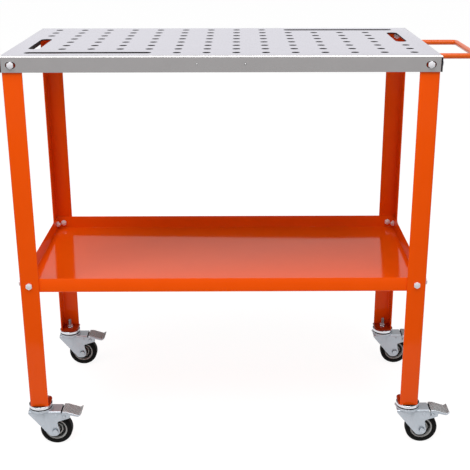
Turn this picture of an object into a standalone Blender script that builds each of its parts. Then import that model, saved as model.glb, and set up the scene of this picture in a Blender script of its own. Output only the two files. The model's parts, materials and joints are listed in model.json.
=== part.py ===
"""Mobile welding table: a folded, perforated steel top on four angle legs, with a tray shelf,
a push handle and four braked swivel casters.

Metres, +Z up. The front faces -Y and the push handle is at the +X end. The origin is on the floor,
under the middle of the whole object.
"""

import math

import bmesh
import bpy
from mathutils import Matrix, Vector

# Fit
CLEARANCE = 0.0003          # gap between pieces that seat on one another
HOLE_PLAY = 0.0006          # added to a bolt's radius for the hole it passes through

# Table top, one folded sheet
TOP_LENGTH = 0.9144
TOP_DEPTH = 0.4572
TOP_HEIGHT = 0.920          # floor to work surface
TOP_SHEET = 0.003
TOP_BEND_RADIUS = 0.002     # inside of the fold
APRON_HEIGHT = 0.0345
CORNER_SLIT = 0.0008        # open joint at each end of the long aprons

# Fixture holes and clamp slots
HOLE_DIAMETER = 0.016
HOLE_PITCH_X = 0.0622
HOLE_PITCH_Y = 0.0535
HOLE_END_MARGIN = 0.050     # least distance from a hole's centre to the end of the top
HOLE_SIDE_MARGIN = 0.040    # least distance from a hole's centre to the side of the top
HOLE_WEB = 0.005            # least steel left between a hole and a slot
LONG_SLOT_LENGTH = 0.2648
LONG_SLOT_WIDTH = 0.020
CROSS_SLOT_LENGTH = 0.160
CROSS_SLOT_WIDTH = 0.024

# Angle legs with welded foot plates
LEG_FLANGE = 0.0425
LEG_SHEET = 0.0025
LEG_BEND_RADIUS = 0.0015    # inside of the fold
FOOT_PLATE_SHEET = 0.004
FOOT_PLATE_RECESS = 0.0005  # end of the leg to the underside of the plate
FOOT_PLATE_OVERHANG = 0.003  # past the edge of the flange
FOOT_PLATE_ROUND = 0.014
STEM_INSET = 0.0205         # outer leg face to caster stem axis

# Tray shelf
SHELF_HEIGHT = 0.3923       # floor to underside
SHELF_RIM = 0.033
SHELF_SHEET = 0.0015
SHELF_BEND_RADIUS = 0.0015  # inside of the fold

# Bolts of the frame
BOLT_DIAMETER = 0.008
BOLT_ACROSS_FLATS = 0.013
BOLT_HEAD = 0.0053
BOLT_NUT = 0.006
BOLT_INSET = 0.0205         # outer leg face to bolt axis
APRON_BOLT_DROP = 0.0193    # work surface to bolt axis
APRON_SLOT_LENGTH = 0.020   # oblong hole of an apron bolt, along the apron
APRON_SLOT_WIDTH = 0.012

# Push handle and its screws
HANDLE_ROD = 0.012
HANDLE_SPAN = 0.216         # between the centrelines of the arms
HANDLE_REACH = 0.100        # end of the top to the centreline of the bar
HANDLE_DROP = 0.020         # work surface to the centreline of the rod
HANDLE_BEND_RADIUS = 0.011  # of the centreline
SCREW_DIAMETER = 0.005
SCREW_ACROSS_FLATS = 0.008
SCREW_HEAD = 0.0035
SCREW_GRIP = 0.014          # length inside the rod

# Caster wheel
WHEEL_DIAMETER = 0.075
TYRE_WIDTH = 0.025
TYRE_DEPTH = 0.011
TYRE_SHOULDER = 0.005
RIM_WIDTH = 0.020
RIM_WALL = 0.0035
HUB_DIAMETER = 0.018
SPOKE_DEPTH = 0.012         # along the axle
SPOKE_WIDTH = 0.005
SPOKE_COUNT = 6
WHEEL_WEB = 0.003           # disc between the spokes
AXLE_DIAMETER = 0.008
AXLE_HEAD_DIAMETER = 0.0145
AXLE_HEAD = 0.004

# Caster stem, swivel head and bearing
STEM_DIAMETER = 0.008
STEM_NUT_FLATS = 0.013
STEM_NUT = 0.008
STEM_END = 0.015            # thread that shows past the nut
HEAD_DIAMETER = 0.055
HEAD_THICKNESS = 0.0066
HEAD_EDGE = 0.0022          # chamfer of the head's edge
BEARING_HEIGHT = 0.0026
BEARING_GROOVE = 0.003      # depth of the groove between head and fork
BEARING_BORE = 0.028
RIVET_DIAMETER = 0.016
RIVET_HEAD = 0.003

# Caster fork
CASTER_TRAIL = 0.034        # stem axis to wheel axle
WHEEL_GAP = 0.0125          # tyre to underside of the fork's web
FORK_WIDTH = 0.040
FORK_SHEET = 0.0025
FORK_BEND_RADIUS = 0.004    # outside of the folds
FORK_DISH = 0.0045          # raised seat of the bearing
FORK_BACK = 0.027           # stem axis to the rear edge
FORK_BACK_EDGE = 0.006      # height of the rear edge
FORK_TIP_RADIUS = 0.0125    # cheek round the axle
FORK_NOTCH_AHEAD = 0.005    # cheek's inner corner, ahead of the axle
FORK_NOTCH_RISE = 0.0255    # and above it
FORK_NOTCH_ROUND = 0.005
FORK_WEB_REACH = 0.049      # stem axis to the end of the web
FORK_ARM_DROP = 0.005       # arms lie lower than the web
FORK_ARM_DEPTH = 0.017      # web to the lower corner of the arms
FORK_ARM_ROUND = 0.006
FORK_ARM_PAST_PIN = 0.013

# Brake pedal and its pin
PEDAL_GAP = 0.0035          # end of the web to the pedal
PEDAL_SHEET = 0.0015
PEDAL_FLAT = 0.0095         # level part of the tread
PEDAL_SLOPE = 0.028         # length of the falling part
PEDAL_FALL = 0.009
PEDAL_LIP = 0.006           # length of the raised tip
PEDAL_LIP_RISE = 0.004
PEDAL_SKIRT = 0.0165        # height of the side flange at the pin
PEDAL_SKIRT_TIP = 0.004     # height of the side flange near the tip
PIN_DIAMETER = 0.005
PIN_HEAD_DIAMETER = 0.008
PIN_HEAD = 0.002
PIN_AHEAD = 0.0045          # pedal's rear edge to the pin
PIN_DROP = 0.011            # web to the pin
TONGUE_WIDTH = 0.020
TONGUE_SHEET = 0.0025
TONGUE_AHEAD = 0.004        # pin axis to the brake tongue
BRAKE_LIFT = 0.0026         # tyre to the tongue when the brake is off

# Facets
HOLE_FACETS = 12
ROUND_FACETS = 8
HEAD_FACETS = 18
WHEEL_FACETS = 24
BEND_FACETS = 2
HEX = 6

# Places that follow from the sizes
LEG_INSET = TOP_SHEET + CLEARANCE
LEG_CORNER = Vector((TOP_LENGTH / 2 - LEG_INSET, TOP_DEPTH / 2 - LEG_INSET))
STEM_AT = LEG_CORNER - Vector((STEM_INSET, STEM_INSET))
BOLT_AT = LEG_CORNER - Vector((BOLT_INSET, BOLT_INSET))
HEAD_STACK = HEAD_THICKNESS + BEARING_HEIGHT + FORK_DISH + 3 * CLEARANCE
CASTER_HEIGHT = WHEEL_DIAMETER + WHEEL_GAP + FORK_SHEET + HEAD_STACK
LEG_TOP = TOP_HEIGHT - TOP_SHEET - TOP_BEND_RADIUS - CLEARANCE
APRON_BOLT_HEIGHT = TOP_HEIGHT - APRON_BOLT_DROP
SHELF_BOLT_HEIGHT = SHELF_HEIGHT + SHELF_RIM / 2
HANDLE_HEIGHT = TOP_HEIGHT - HANDLE_DROP
RIGHT_END = TOP_LENGTH / 2 + HANDLE_REACH + HANDLE_ROD / 2
LEFT_END = TOP_LENGTH / 2 + CLEARANCE + BOLT_HEAD

# Places on a caster, whose own origin is the stem axis at the foot of the leg
WEB_TOP = -HEAD_STACK
AXLE_AT = Vector((CASTER_TRAIL, 0.0, WHEEL_DIAMETER / 2 - CASTER_HEIGHT))
PEDAL_START = FORK_WEB_REACH + PEDAL_GAP
PIN_AT = Vector((PEDAL_START + PIN_AHEAD, 0.0, WEB_TOP - PIN_DROP))
FORK_INSIDE = FORK_WIDTH - 2 * FORK_SHEET
RIM_RADIUS = WHEEL_DIAMETER / 2 - TYRE_DEPTH - CLEARANCE
PEDAL_INSIDE = FORK_WIDTH + 2 * CLEARANCE
PEDAL_WIDTH = PEDAL_INSIDE + 2 * PEDAL_SHEET

CORNERS = {
    "front_left": (-1, -1),
    "front_right": (1, -1),
    "rear_right": (1, 1),
    "rear_left": (-1, 1),
}
MERGE_DISTANCE = 0.000001
SMOOTH_ANGLE = math.radians(35)
FLAT_ANGLE = math.radians(0.05)


def linear(hex_colour):
    """Linear colour of an sRGB hex colour."""
    channels = [int(hex_colour[i:i + 2], 16) / 255 for i in (0, 2, 4)]
    return [c / 12.92 if c <= 0.04045 else ((c + 0.055) / 1.055) ** 2.4 for c in channels]


def make_material(name, hex_colour, roughness, metallic):
    """Principled material with one plain colour."""
    material = bpy.data.materials.new(name)
    material.use_nodes = True
    shader = material.node_tree.nodes["Principled BSDF"]
    shader.inputs["Base Color"].default_value = (*linear(hex_colour), 1.0)
    shader.inputs["Roughness"].default_value = roughness
    shader.inputs["Metallic"].default_value = metallic
    return material


def reset_scene():
    """Remove what the scene holds, and give it collections for the table and for its cutters."""
    for old in list(bpy.data.objects):
        bpy.data.objects.remove(old, do_unlink=True)
    for name in ("mobile_welding_table", "cutters"):
        collection = bpy.data.collections.new(name)
        bpy.context.scene.collection.children.link(collection)


# Outlines, as lists of 2D points

def rounded(corners, facets=BEND_FACETS, closed=True):
    """Outline through corner points (x, y, radius), each rounded with an arc of its radius."""
    points = []
    last = len(corners) - 1
    for index, (x, y, radius) in enumerate(corners):
        here = Vector((x, y))
        open_end = not closed and index in (0, last)
        if radius <= 0.0 or open_end:
            points.append(here)
            continue
        before = (Vector(corners[index - 1][:2]) - here).normalized()
        after = (Vector(corners[(index + 1) % len(corners)][:2]) - here).normalized()
        half = before.angle(after) / 2
        centre = here + (before + after).normalized() * radius / math.sin(half)
        start = here + before * radius / math.tan(half) - centre
        end = here + after * radius / math.tan(half) - centre
        sweep = start.angle_signed(end)
        for step in range(facets + 1):
            points.append(centre + Matrix.Rotation(-sweep * step / facets, 2) @ start)
    return points


def rectangle(length, depth, radius=0.0):
    """Outline of a centred rectangle with rounded corners."""
    x, y = length / 2, depth / 2
    return rounded([(-x, -y, radius), (x, -y, radius), (x, y, radius), (-x, y, radius)])


def slot_outline(length_x, length_y):
    """Outline of a centred slot with round ends along its longer side."""
    radius = min(length_x, length_y) / 2
    along = Vector((length_x / 2 - radius, length_y / 2 - radius))
    facets = 2 * BEND_FACETS
    points = []
    for centre in (along, -along):
        outward = math.atan2(centre.y, centre.x)
        for step in range(facets + 1):
            angle = outward + math.pi * (step / facets - 0.5)
            points.append(centre + radius * Vector((math.cos(angle), math.sin(angle))))
    return points


# Solids, as meshes about their own origin

def as_mesh(bm):
    """Closed mesh of a bmesh, with its flat faces whole and turned outward."""
    bmesh.ops.remove_doubles(bm, verts=bm.verts, dist=MERGE_DISTANCE)
    bmesh.ops.dissolve_degenerate(bm, edges=bm.edges, dist=MERGE_DISTANCE)
    bmesh.ops.dissolve_limit(bm, angle_limit=FLAT_ANGLE, verts=bm.verts, edges=bm.edges)
    bmesh.ops.recalc_face_normals(bm, faces=bm.faces)
    mesh = bpy.data.meshes.new("solid")
    bm.to_mesh(mesh)
    bm.free()
    return mesh


def evaluated(data_block, set_up=None):
    """Mesh of a curve or a modified mesh, as Blender evaluates it."""
    work = bpy.data.objects.new("work", data_block)
    bpy.context.scene.collection.objects.link(work)
    if set_up:
        set_up(work)
    graph = bpy.context.evaluated_depsgraph_get()
    mesh = bpy.data.meshes.new_from_object(work.evaluated_get(graph))
    bpy.data.objects.remove(work, do_unlink=True)
    bm = bmesh.new()
    bm.from_mesh(mesh)
    return as_mesh(bm)


def plate(outline, bottom, top):
    """Flat outline in XY, from one height to another."""
    curve = bpy.data.curves.new("outline", "CURVE")
    curve.dimensions = "2D"
    curve.fill_mode = "BOTH"
    curve.extrude = (top - bottom) / 2
    spline = curve.splines.new("POLY")
    spline.points.add(len(outline) - 1)
    for point, place in zip(spline.points, outline):
        point.co = (*place, 0.0, 1.0)
    spline.use_cyclic_u = True
    mesh = evaluated(curve)
    mesh.transform(Matrix.Translation((0.0, 0.0, (bottom + top) / 2)))
    return mesh


def side_plate(outline, width):
    """Outline of (x, z) points, centred on the XZ plane and as wide as given along Y."""
    mesh = plate(outline, -width / 2, width / 2)
    mesh.transform(Matrix.Rotation(math.pi / 2, 4, "X"))
    return mesh


def turned(profile, facets):
    """Profile of (radius, z) points turned about Z: a ring if closed, else from axis to axis."""
    count = len(profile)
    edges = [(i, i + 1) for i in range(count - 1)]
    if profile[0][0] > 0.0:
        edges.append((count - 1, 0))
    mesh = bpy.data.meshes.new("profile")
    mesh.from_pydata([(radius, 0.0, z) for radius, z in profile], edges, [])

    def screw(work):
        modifier = work.modifiers.new("turn", "SCREW")
        modifier.steps = facets
        modifier.render_steps = facets
        modifier.use_merge_vertices = True
        modifier.merge_threshold = MERGE_DISTANCE

    return evaluated(mesh, screw)


def block(size, centre):
    """Box of a size about a centre."""
    bm = bmesh.new()
    bmesh.ops.create_cube(bm, matrix=Matrix.Translation(centre) @ Matrix.Diagonal((*size, 1.0)))
    return as_mesh(bm)


def rod(radius, start, end, facets=ROUND_FACETS):
    """Cylinder between two points."""
    along = Vector(end) - Vector(start)
    turn = along.to_track_quat("Z", "Y").to_matrix().to_4x4()
    bm = bmesh.new()
    bmesh.ops.create_cone(
        bm, cap_ends=True, segments=facets, radius1=radius, radius2=radius, depth=along.length,
        matrix=Matrix.Translation((Vector(start) + Vector(end)) / 2) @ turn)
    return as_mesh(bm)


def together(meshes):
    """Several separate solids in one mesh."""
    bm = bmesh.new()
    for mesh in meshes:
        bm.from_mesh(mesh)
    return as_mesh(bm)


def combined(mesh, tool, operation):
    """Boolean of two meshes."""
    cutters = bpy.data.collections["cutters"]
    tool_object = bpy.data.objects.new("cutter", tool)
    tool_object.hide_render = True
    tool_object.display_type = "WIRE"
    cutters.objects.link(tool_object)

    def boolean(work):
        modifier = work.modifiers.new("boolean", "BOOLEAN")
        modifier.operation = operation
        modifier.solver = "EXACT"
        modifier.object = tool_object

    result = evaluated(mesh, boolean)
    bpy.data.objects.remove(tool_object, do_unlink=True)
    return result


def cut(mesh, *tools):
    """Mesh less the tools."""
    return combined(mesh, together(tools), "DIFFERENCE")


def joined(mesh, *others):
    """Mesh united with the others, one by one."""
    for other in others:
        mesh = combined(mesh, other, "UNION")
    return mesh


def folded_pan(outer, inner, height, sheet, bend_radius):
    """Folded sheet tray, open at the top, with its floor's underside at z = 0."""
    outside = rolled_edge(plate(outer, 0.0, height), 0.0, bend_radius + sheet)
    inside = rolled_edge(plate(inner, sheet, height + sheet), sheet, bend_radius)
    return cut(outside, inside)


def rolled_edge(mesh, z, radius, along=None):
    """Round the rim of a face at the given height, or only its edges along one direction."""
    bm = bmesh.new()
    bm.from_mesh(mesh)
    rim = []
    for edge in bm.edges:
        level = all(abs(vert.co.z - z) < MERGE_DISTANCE for vert in edge.verts)
        run = (edge.verts[1].co - edge.verts[0].co).normalized()
        wanted = along is None or abs(run.dot(along)) > math.cos(FLAT_ANGLE)
        if level and wanted and edge.calc_face_angle() > SMOOTH_ANGLE:
            rim.append(edge)
    bmesh.ops.bevel(bm, geom=rim, offset=radius, segments=BEND_FACETS, profile=0.5, affect="EDGES")
    return as_mesh(bm)


def bore(radius, facets):
    """Radius of a faceted hole that leaves the clearance all round a pin."""
    return (radius + CLEARANCE) / math.cos(math.pi / facets)


def hex_radius(across_flats):
    """Corner radius of a hexagon."""
    return across_flats / math.sqrt(3)


# Frame pieces

def hole_grid():
    """Columns and rows of the fixture holes that fit the top."""
    columns = int((TOP_LENGTH - 2 * HOLE_END_MARGIN) / HOLE_PITCH_X) + 1
    rows = int((TOP_DEPTH - 2 * HOLE_SIDE_MARGIN) / HOLE_PITCH_Y) + 1
    xs = [(i - (columns - 1) / 2) * HOLE_PITCH_X for i in range(columns)]
    ys = [(i - (rows - 1) / 2) * HOLE_PITCH_Y for i in range(rows)]
    return xs, ys


def clamp_slots(xs, ys):
    """The four slots as (centre, length along X, length along Y); each pair is turned half round."""
    long_centre = Vector((xs[0] + (LONG_SLOT_LENGTH - HOLE_DIAMETER) / 2, ys[0]))
    cross_centre = Vector((xs[0], ys[0] + HOLE_PITCH_Y + CROSS_SLOT_LENGTH / 2))
    slots = []
    for side in (1, -1):
        slots.append((side * long_centre, LONG_SLOT_LENGTH, LONG_SLOT_WIDTH))
        slots.append((side * cross_centre, CROSS_SLOT_WIDTH, CROSS_SLOT_LENGTH))
    return slots


def hole_is_clear(x, y, slots):
    """True where a fixture hole leaves enough steel beside every slot."""
    margin = HOLE_DIAMETER / 2 + HOLE_WEB
    for centre, length_x, length_y in slots:
        if abs(x - centre.x) < length_x / 2 + margin and abs(y - centre.y) < length_y / 2 + margin:
            return False
    return True


def bolt_hole(point, direction, radius, reach):
    """Cutter for a hole through a thin wall at a point."""
    offset = Vector(direction) * reach
    return rod(radius, Vector(point) - offset, Vector(point) + offset, HOLE_FACETS)


def apron_slot(point, outward):
    """Cutter for an oblong bolt hole through an apron at a point."""
    slot = plate(slot_outline(APRON_SLOT_WIDTH, APRON_SLOT_LENGTH), -2 * TOP_SHEET, 2 * TOP_SHEET)
    slot.transform(Matrix.Translation(point) @ bolt_turn(outward).to_4x4())
    return slot


def table_top_mesh():
    """Folded top about its work surface, with fixture holes, clamp slots, bolt holes and open corners."""
    inside_length = TOP_LENGTH - 2 * TOP_SHEET
    inside_depth = TOP_DEPTH - 2 * TOP_SHEET
    pan = folded_pan(
        rectangle(TOP_LENGTH, TOP_DEPTH), rectangle(inside_length, inside_depth),
        APRON_HEIGHT, TOP_SHEET, TOP_BEND_RADIUS)
    pan.transform(Matrix.Rotation(math.pi, 4, "X"))

    above = TOP_SHEET
    below = -2 * TOP_SHEET
    xs, ys = hole_grid()
    slots = clamp_slots(xs, ys)
    tools = []
    for x in xs:
        for y in ys:
            if hole_is_clear(x, y, slots):
                tools.append(rod(HOLE_DIAMETER / 2, (x, y, below), (x, y, above), HOLE_FACETS))
    for centre, length_x, length_y in slots:
        slot = plate(slot_outline(length_x, length_y), below, above)
        slot.transform(Matrix.Translation((*centre, 0.0)))
        tools.append(slot)

    screw_radius = SCREW_DIAMETER / 2 + HOLE_PLAY
    slit_x = inside_length / 2 + CLEARANCE - CORNER_SLIT / 2
    slit_top = -TOP_SHEET - TOP_BEND_RADIUS - CLEARANCE
    slit_height = APRON_HEIGHT
    for sx, sy in CORNERS.values():
        end_face = (sx * TOP_LENGTH / 2, sy * BOLT_AT.y, -APRON_BOLT_DROP)
        side_face = (sx * BOLT_AT.x, sy * TOP_DEPTH / 2, -APRON_BOLT_DROP)
        tools.append(apron_slot(end_face, (sx, 0, 0)))
        tools.append(apron_slot(side_face, (0, sy, 0)))
        slit_at = (sx * slit_x, sy * TOP_DEPTH / 2, slit_top - slit_height / 2)
        tools.append(block((CORNER_SLIT, 2 * TOP_SHEET, slit_height), slit_at))
    for side in (-1, 1):
        arm = (TOP_LENGTH / 2, side * HANDLE_SPAN / 2, -HANDLE_DROP)
        tools.append(bolt_hole(arm, (1, 0, 0), screw_radius, 2 * TOP_SHEET))
    return cut(pan, *tools)


def leg_mesh():
    """Angle leg about its outer corner on the floor, flanges along +X and +Y, foot plate welded in."""
    flange, sheet = LEG_FLANGE, LEG_SHEET
    angle = plate(rounded([
        (0.0, 0.0, LEG_BEND_RADIUS + sheet), (flange, 0.0, 0.0), (flange, sheet, 0.0),
        (sheet, sheet, LEG_BEND_RADIUS), (sheet, flange, 0.0), (0.0, flange, 0.0),
    ]), CASTER_HEIGHT, LEG_TOP)

    near, far = sheet / 2, LEG_FLANGE + FOOT_PLATE_OVERHANG
    foot_bottom = CASTER_HEIGHT + FOOT_PLATE_RECESS
    foot = plate(rounded([
        (near, near, LEG_BEND_RADIUS + sheet / 2), (far, near, 0.0),
        (far, far, FOOT_PLATE_ROUND), (near, far, 0.0),
    ]), foot_bottom, foot_bottom + FOOT_PLATE_SHEET)

    bolt_radius = BOLT_DIAMETER / 2 + HOLE_PLAY
    tools = [rod(
        bore(STEM_DIAMETER / 2, ROUND_FACETS),
        (STEM_INSET, STEM_INSET, foot_bottom - FOOT_PLATE_SHEET),
        (STEM_INSET, STEM_INSET, foot_bottom + 2 * FOOT_PLATE_SHEET))]
    for height in (APRON_BOLT_HEIGHT, SHELF_BOLT_HEIGHT):
        tools.append(bolt_hole((BOLT_INSET, 0.0, height), (0, 1, 0), bolt_radius, 2 * sheet))
        tools.append(bolt_hole((0.0, BOLT_INSET, height), (1, 0, 0), bolt_radius, 2 * sheet))
    return cut(joined(angle, foot), *tools)


def shelf_mesh():
    """Tray shelf about its underside, fitted between the flanges of the legs."""
    inset = LEG_INSET + LEG_SHEET + CLEARANCE
    length, depth = TOP_LENGTH - 2 * inset, TOP_DEPTH - 2 * inset
    corner = LEG_BEND_RADIUS + SHELF_BEND_RADIUS + SHELF_SHEET
    inside = 2 * SHELF_SHEET
    pan = folded_pan(
        rectangle(length, depth, corner),
        rectangle(length - inside, depth - inside, corner - SHELF_SHEET),
        SHELF_RIM, SHELF_SHEET, SHELF_BEND_RADIUS)
    radius = BOLT_DIAMETER / 2 + HOLE_PLAY
    tools = []
    for sx, sy in CORNERS.values():
        end_face = (sx * length / 2, sy * BOLT_AT.y, SHELF_RIM / 2)
        side_face = (sx * BOLT_AT.x, sy * depth / 2, SHELF_RIM / 2)
        tools.append(bolt_hole(end_face, (1, 0, 0), radius, 2 * SHELF_SHEET))
        tools.append(bolt_hole(side_face, (0, 1, 0), radius, 2 * SHELF_SHEET))
    return cut(pan, *tools)


def bolt_mesh(stack):
    """Hexagon bolt and its nut about the outer face of what they clamp, head at +Z.

    A turn of six facets gives the hexagons; the shank between them is hidden in its holes.
    """
    head, shank = hex_radius(BOLT_ACROSS_FLATS), BOLT_DIAMETER / 2
    nut_face = -stack - CLEARANCE
    nut_end = nut_face - BOLT_NUT
    return turned([
        (0.0, CLEARANCE + BOLT_HEAD), (head, CLEARANCE + BOLT_HEAD), (head, CLEARANCE),
        (shank, CLEARANCE), (shank, nut_face), (head, nut_face), (head, nut_end), (0.0, nut_end),
    ], HEX)


def handle_mesh():
    """Bent rod whose ends stand on the end apron, drilled for its screws."""
    start = TOP_LENGTH / 2 + CLEARANCE
    end = TOP_LENGTH / 2 + HANDLE_REACH
    half = HANDLE_SPAN / 2
    bend = HANDLE_BEND_RADIUS
    path = rounded(
        [(start, -half, 0.0), (end, -half, bend), (end, half, bend), (start, half, 0.0)],
        2 * BEND_FACETS, closed=False)
    curve = bpy.data.curves.new("handle", "CURVE")
    curve.dimensions = "3D"
    curve.bevel_depth = HANDLE_ROD / 2
    curve.bevel_resolution = 2
    curve.use_fill_caps = True
    spline = curve.splines.new("POLY")
    spline.points.add(len(path) - 1)
    for point, (x, y) in zip(spline.points, path):
        point.co = (x, y, HANDLE_HEIGHT, 1.0)
    tapped = []
    for side in (-1, 1):
        bottom = start + SCREW_GRIP + CLEARANCE
        mouth = (start - HANDLE_ROD, side * half, HANDLE_HEIGHT)
        tapped.append(rod(bore(SCREW_DIAMETER / 2, HEX), mouth, (bottom, side * half, HANDLE_HEIGHT), HEX))
    return cut(evaluated(curve), *tapped)


def handle_screw_mesh():
    """Hexagon screw about the outer face of the end apron, head inside at -Z, shank into the rod."""
    head, shank = hex_radius(SCREW_ACROSS_FLATS), SCREW_DIAMETER / 2
    seat = -TOP_SHEET - CLEARANCE
    tip = CLEARANCE + SCREW_GRIP
    return turned([
        (0.0, tip), (shank, tip), (shank, seat), (head, seat),
        (head, seat - SCREW_HEAD), (0.0, seat - SCREW_HEAD),
    ], HEX)


# Caster pieces, about the stem axis at the foot of the leg

def stem_mesh():
    """Threaded stem with its lock nut, swivel head and riveted kingpin."""
    nut_face = FOOT_PLATE_RECESS + FOOT_PLATE_SHEET + CLEARANCE
    nut_end = nut_face + STEM_NUT
    tip = nut_end + STEM_END
    stem, head, rivet = STEM_DIAMETER / 2, HEAD_DIAMETER / 2, RIVET_DIAMETER / 2
    head_top = -CLEARANCE
    head_bottom = head_top - HEAD_THICKNESS
    rivet_top = WEB_TOP - FORK_SHEET - CLEARANCE
    body = turned([
        (0.0, tip), (stem, tip), (stem, head_top), (head - HEAD_EDGE, head_top),
        (head, head_top - HEAD_EDGE), (head, head_bottom), (stem, head_bottom), (stem, rivet_top),
        (rivet, rivet_top), (rivet, rivet_top - RIVET_HEAD), (0.0, rivet_top - RIVET_HEAD),
    ], HEAD_FACETS)
    nut = rod(hex_radius(STEM_NUT_FLATS), (0.0, 0.0, nut_face), (0.0, 0.0, nut_end), HEX)
    return joined(body, nut)


def bearing_mesh():
    """Ball ring between the swivel head and the fork's dish."""
    top = -2 * CLEARANCE - HEAD_THICKNESS
    outer = HEAD_DIAMETER / 2 - BEARING_GROOVE
    inner = BEARING_BORE / 2
    bottom = top - BEARING_HEIGHT
    return turned([(inner, top), (outer, top), (outer, bottom), (inner, bottom)], HEAD_FACETS)


def fork_outline():
    """Side view of the fork: web along the top, cheek down to the axle, arm out to the pedal pin."""
    arm_end = PIN_AT.x + FORK_ARM_PAST_PIN
    arm_top = WEB_TOP - FORK_ARM_DROP
    arm_bottom = WEB_TOP - FORK_ARM_DEPTH
    tip = FORK_TIP_RADIUS
    axle_x, axle_z = AXLE_AT.x, AXLE_AT.z
    return rounded([
        (-FORK_BACK, WEB_TOP, 0.0),
        (-FORK_BACK, WEB_TOP - FORK_BACK_EDGE, FORK_BACK_EDGE / 2),
        (axle_x - tip, axle_z - tip, tip),
        (axle_x + tip, axle_z - tip, tip),
        (axle_x + FORK_NOTCH_AHEAD, axle_z + FORK_NOTCH_RISE, FORK_NOTCH_ROUND),
        (arm_end, arm_bottom, FORK_ARM_ROUND / 2),
        (arm_end, arm_top, FORK_ARM_ROUND),
        (FORK_WEB_REACH, arm_top, 0.0),
        (FORK_WEB_REACH, WEB_TOP, 0.0),
    ])


def fork_mesh():
    """Pressed fork: two cheeks and a web from one outline, with the bearing dish on top."""
    size = FORK_BACK + FORK_WEB_REACH + FORK_ARM_PAST_PIN + CASTER_HEIGHT
    web_bottom = WEB_TOP - FORK_SHEET
    channel = block((2 * size, FORK_INSIDE, size), (0.0, 0.0, web_bottom - size / 2))
    between_arms = block((size, FORK_INSIDE, size), (FORK_WEB_REACH + size / 2, 0.0, WEB_TOP))
    cheeks = cut(cut(side_plate(fork_outline(), FORK_WIDTH), channel), between_arms)
    cheeks = rolled_edge(cheeks, WEB_TOP, FORK_BEND_RADIUS, Vector((1.0, 0.0, 0.0)))
    dish = rod(
        HEAD_DIAMETER / 2, (0.0, 0.0, WEB_TOP - FORK_SHEET / 2), (0.0, 0.0, WEB_TOP + FORK_DISH),
        HEAD_FACETS)
    kingpin = rod(
        bore(STEM_DIAMETER / 2, ROUND_FACETS), (0.0, 0.0, web_bottom - FORK_SHEET), (0.0, 0.0, 0.0))
    across = Vector((0.0, FORK_WIDTH, 0.0))
    axle = rod(bore(AXLE_DIAMETER / 2, ROUND_FACETS), AXLE_AT - across, AXLE_AT + across)
    pin = rod(bore(PIN_DIAMETER / 2, ROUND_FACETS), PIN_AT - across, PIN_AT + across)
    return cut(joined(cheeks, dish), kingpin, axle, pin)


def headed_pin_mesh(radius, head_radius, head, length):
    """Pin along Y with a head at each end, a clearance outside a given length."""
    seat = length / 2 + CLEARANCE
    end = seat + head
    mesh = turned([
        (0.0, end), (head_radius, end), (head_radius, seat), (radius, seat),
        (radius, -seat), (head_radius, -seat), (head_radius, -end), (0.0, -end),
    ], ROUND_FACETS)
    mesh.transform(Matrix.Rotation(math.pi / 2, 4, "X"))
    return mesh


def on_axle(mesh):
    """Turn a wheel piece from the Z axis to the Y axis, with a flat facet at the floor."""
    flat_down = Matrix.Rotation(math.pi / WHEEL_FACETS - math.pi / 2, 4, "Z")
    mesh.transform(Matrix.Rotation(math.pi / 2, 4, "X") @ flat_down)
    return mesh


def tyre_mesh():
    """Solid tyre with rounded shoulders, its flats at the wheel's radius."""
    stretch = 1 / math.cos(math.pi / WHEEL_FACETS)
    outer, inner = WHEEL_DIAMETER / 2 * stretch, (WHEEL_DIAMETER / 2 - TYRE_DEPTH) * stretch
    half, shoulder = TYRE_WIDTH / 2, TYRE_SHOULDER
    section = rounded([
        (inner, half, 0.0), (outer, half, shoulder), (outer, -half, shoulder), (inner, -half, 0.0),
    ])
    return on_axle(turned(section, WHEEL_FACETS))


def hub_mesh():
    """Wheel centre: rim, web, spokes that stiffen it, and a boss that fills the fork."""
    stretch = 1 / math.cos(math.pi / WHEEL_FACETS)
    rim = RIM_RADIUS * stretch
    rim_inside = rim - RIM_WALL
    boss = HUB_DIAMETER / 2
    hole = bore(AXLE_DIAMETER / 2, WHEEL_FACETS)
    boss_end = FORK_INSIDE / 2 - CLEARANCE
    edge, spoke, web = RIM_WIDTH / 2, SPOKE_DEPTH / 2, WHEEL_WEB / 2
    wheel = turned([
        (hole, boss_end), (boss, boss_end), (boss, spoke), (rim_inside, spoke), (rim_inside, edge),
        (rim, edge), (rim, -edge), (rim_inside, -edge), (rim_inside, -spoke), (boss, -spoke),
        (boss, -boss_end), (hole, -boss_end),
    ], WHEEL_FACETS)
    pockets = []
    for index in range(SPOKE_COUNT):
        turn = Matrix.Rotation(2 * math.pi * index / SPOKE_COUNT, 4, "Z")
        for bottom, top in ((web, SPOKE_DEPTH), (-SPOKE_DEPTH, -web)):
            pocket = plate(pocket_outline(boss, rim_inside), bottom, top)
            pocket.transform(turn)
            pockets.append(pocket)
    return on_axle(cut(wheel, *pockets))


def pocket_outline(boss, rim_inside):
    """Pocket between two spokes, narrower at the boss."""
    half_angle = math.pi / SPOKE_COUNT
    edge = SPOKE_WIDTH / 2
    inner_x = (boss + edge) * math.cos(half_angle)
    outer_x = (rim_inside - edge) * math.cos(half_angle)
    inner_y = inner_x * math.tan(half_angle) - edge / math.cos(half_angle)
    outer_y = outer_x * math.tan(half_angle) - edge / math.cos(half_angle)
    inner, outer = Vector((inner_x, inner_y)), Vector((outer_x, outer_y))
    mirror = Matrix.Diagonal((1.0, -1.0))
    return [mirror @ inner, mirror @ outer, outer, inner]


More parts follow.
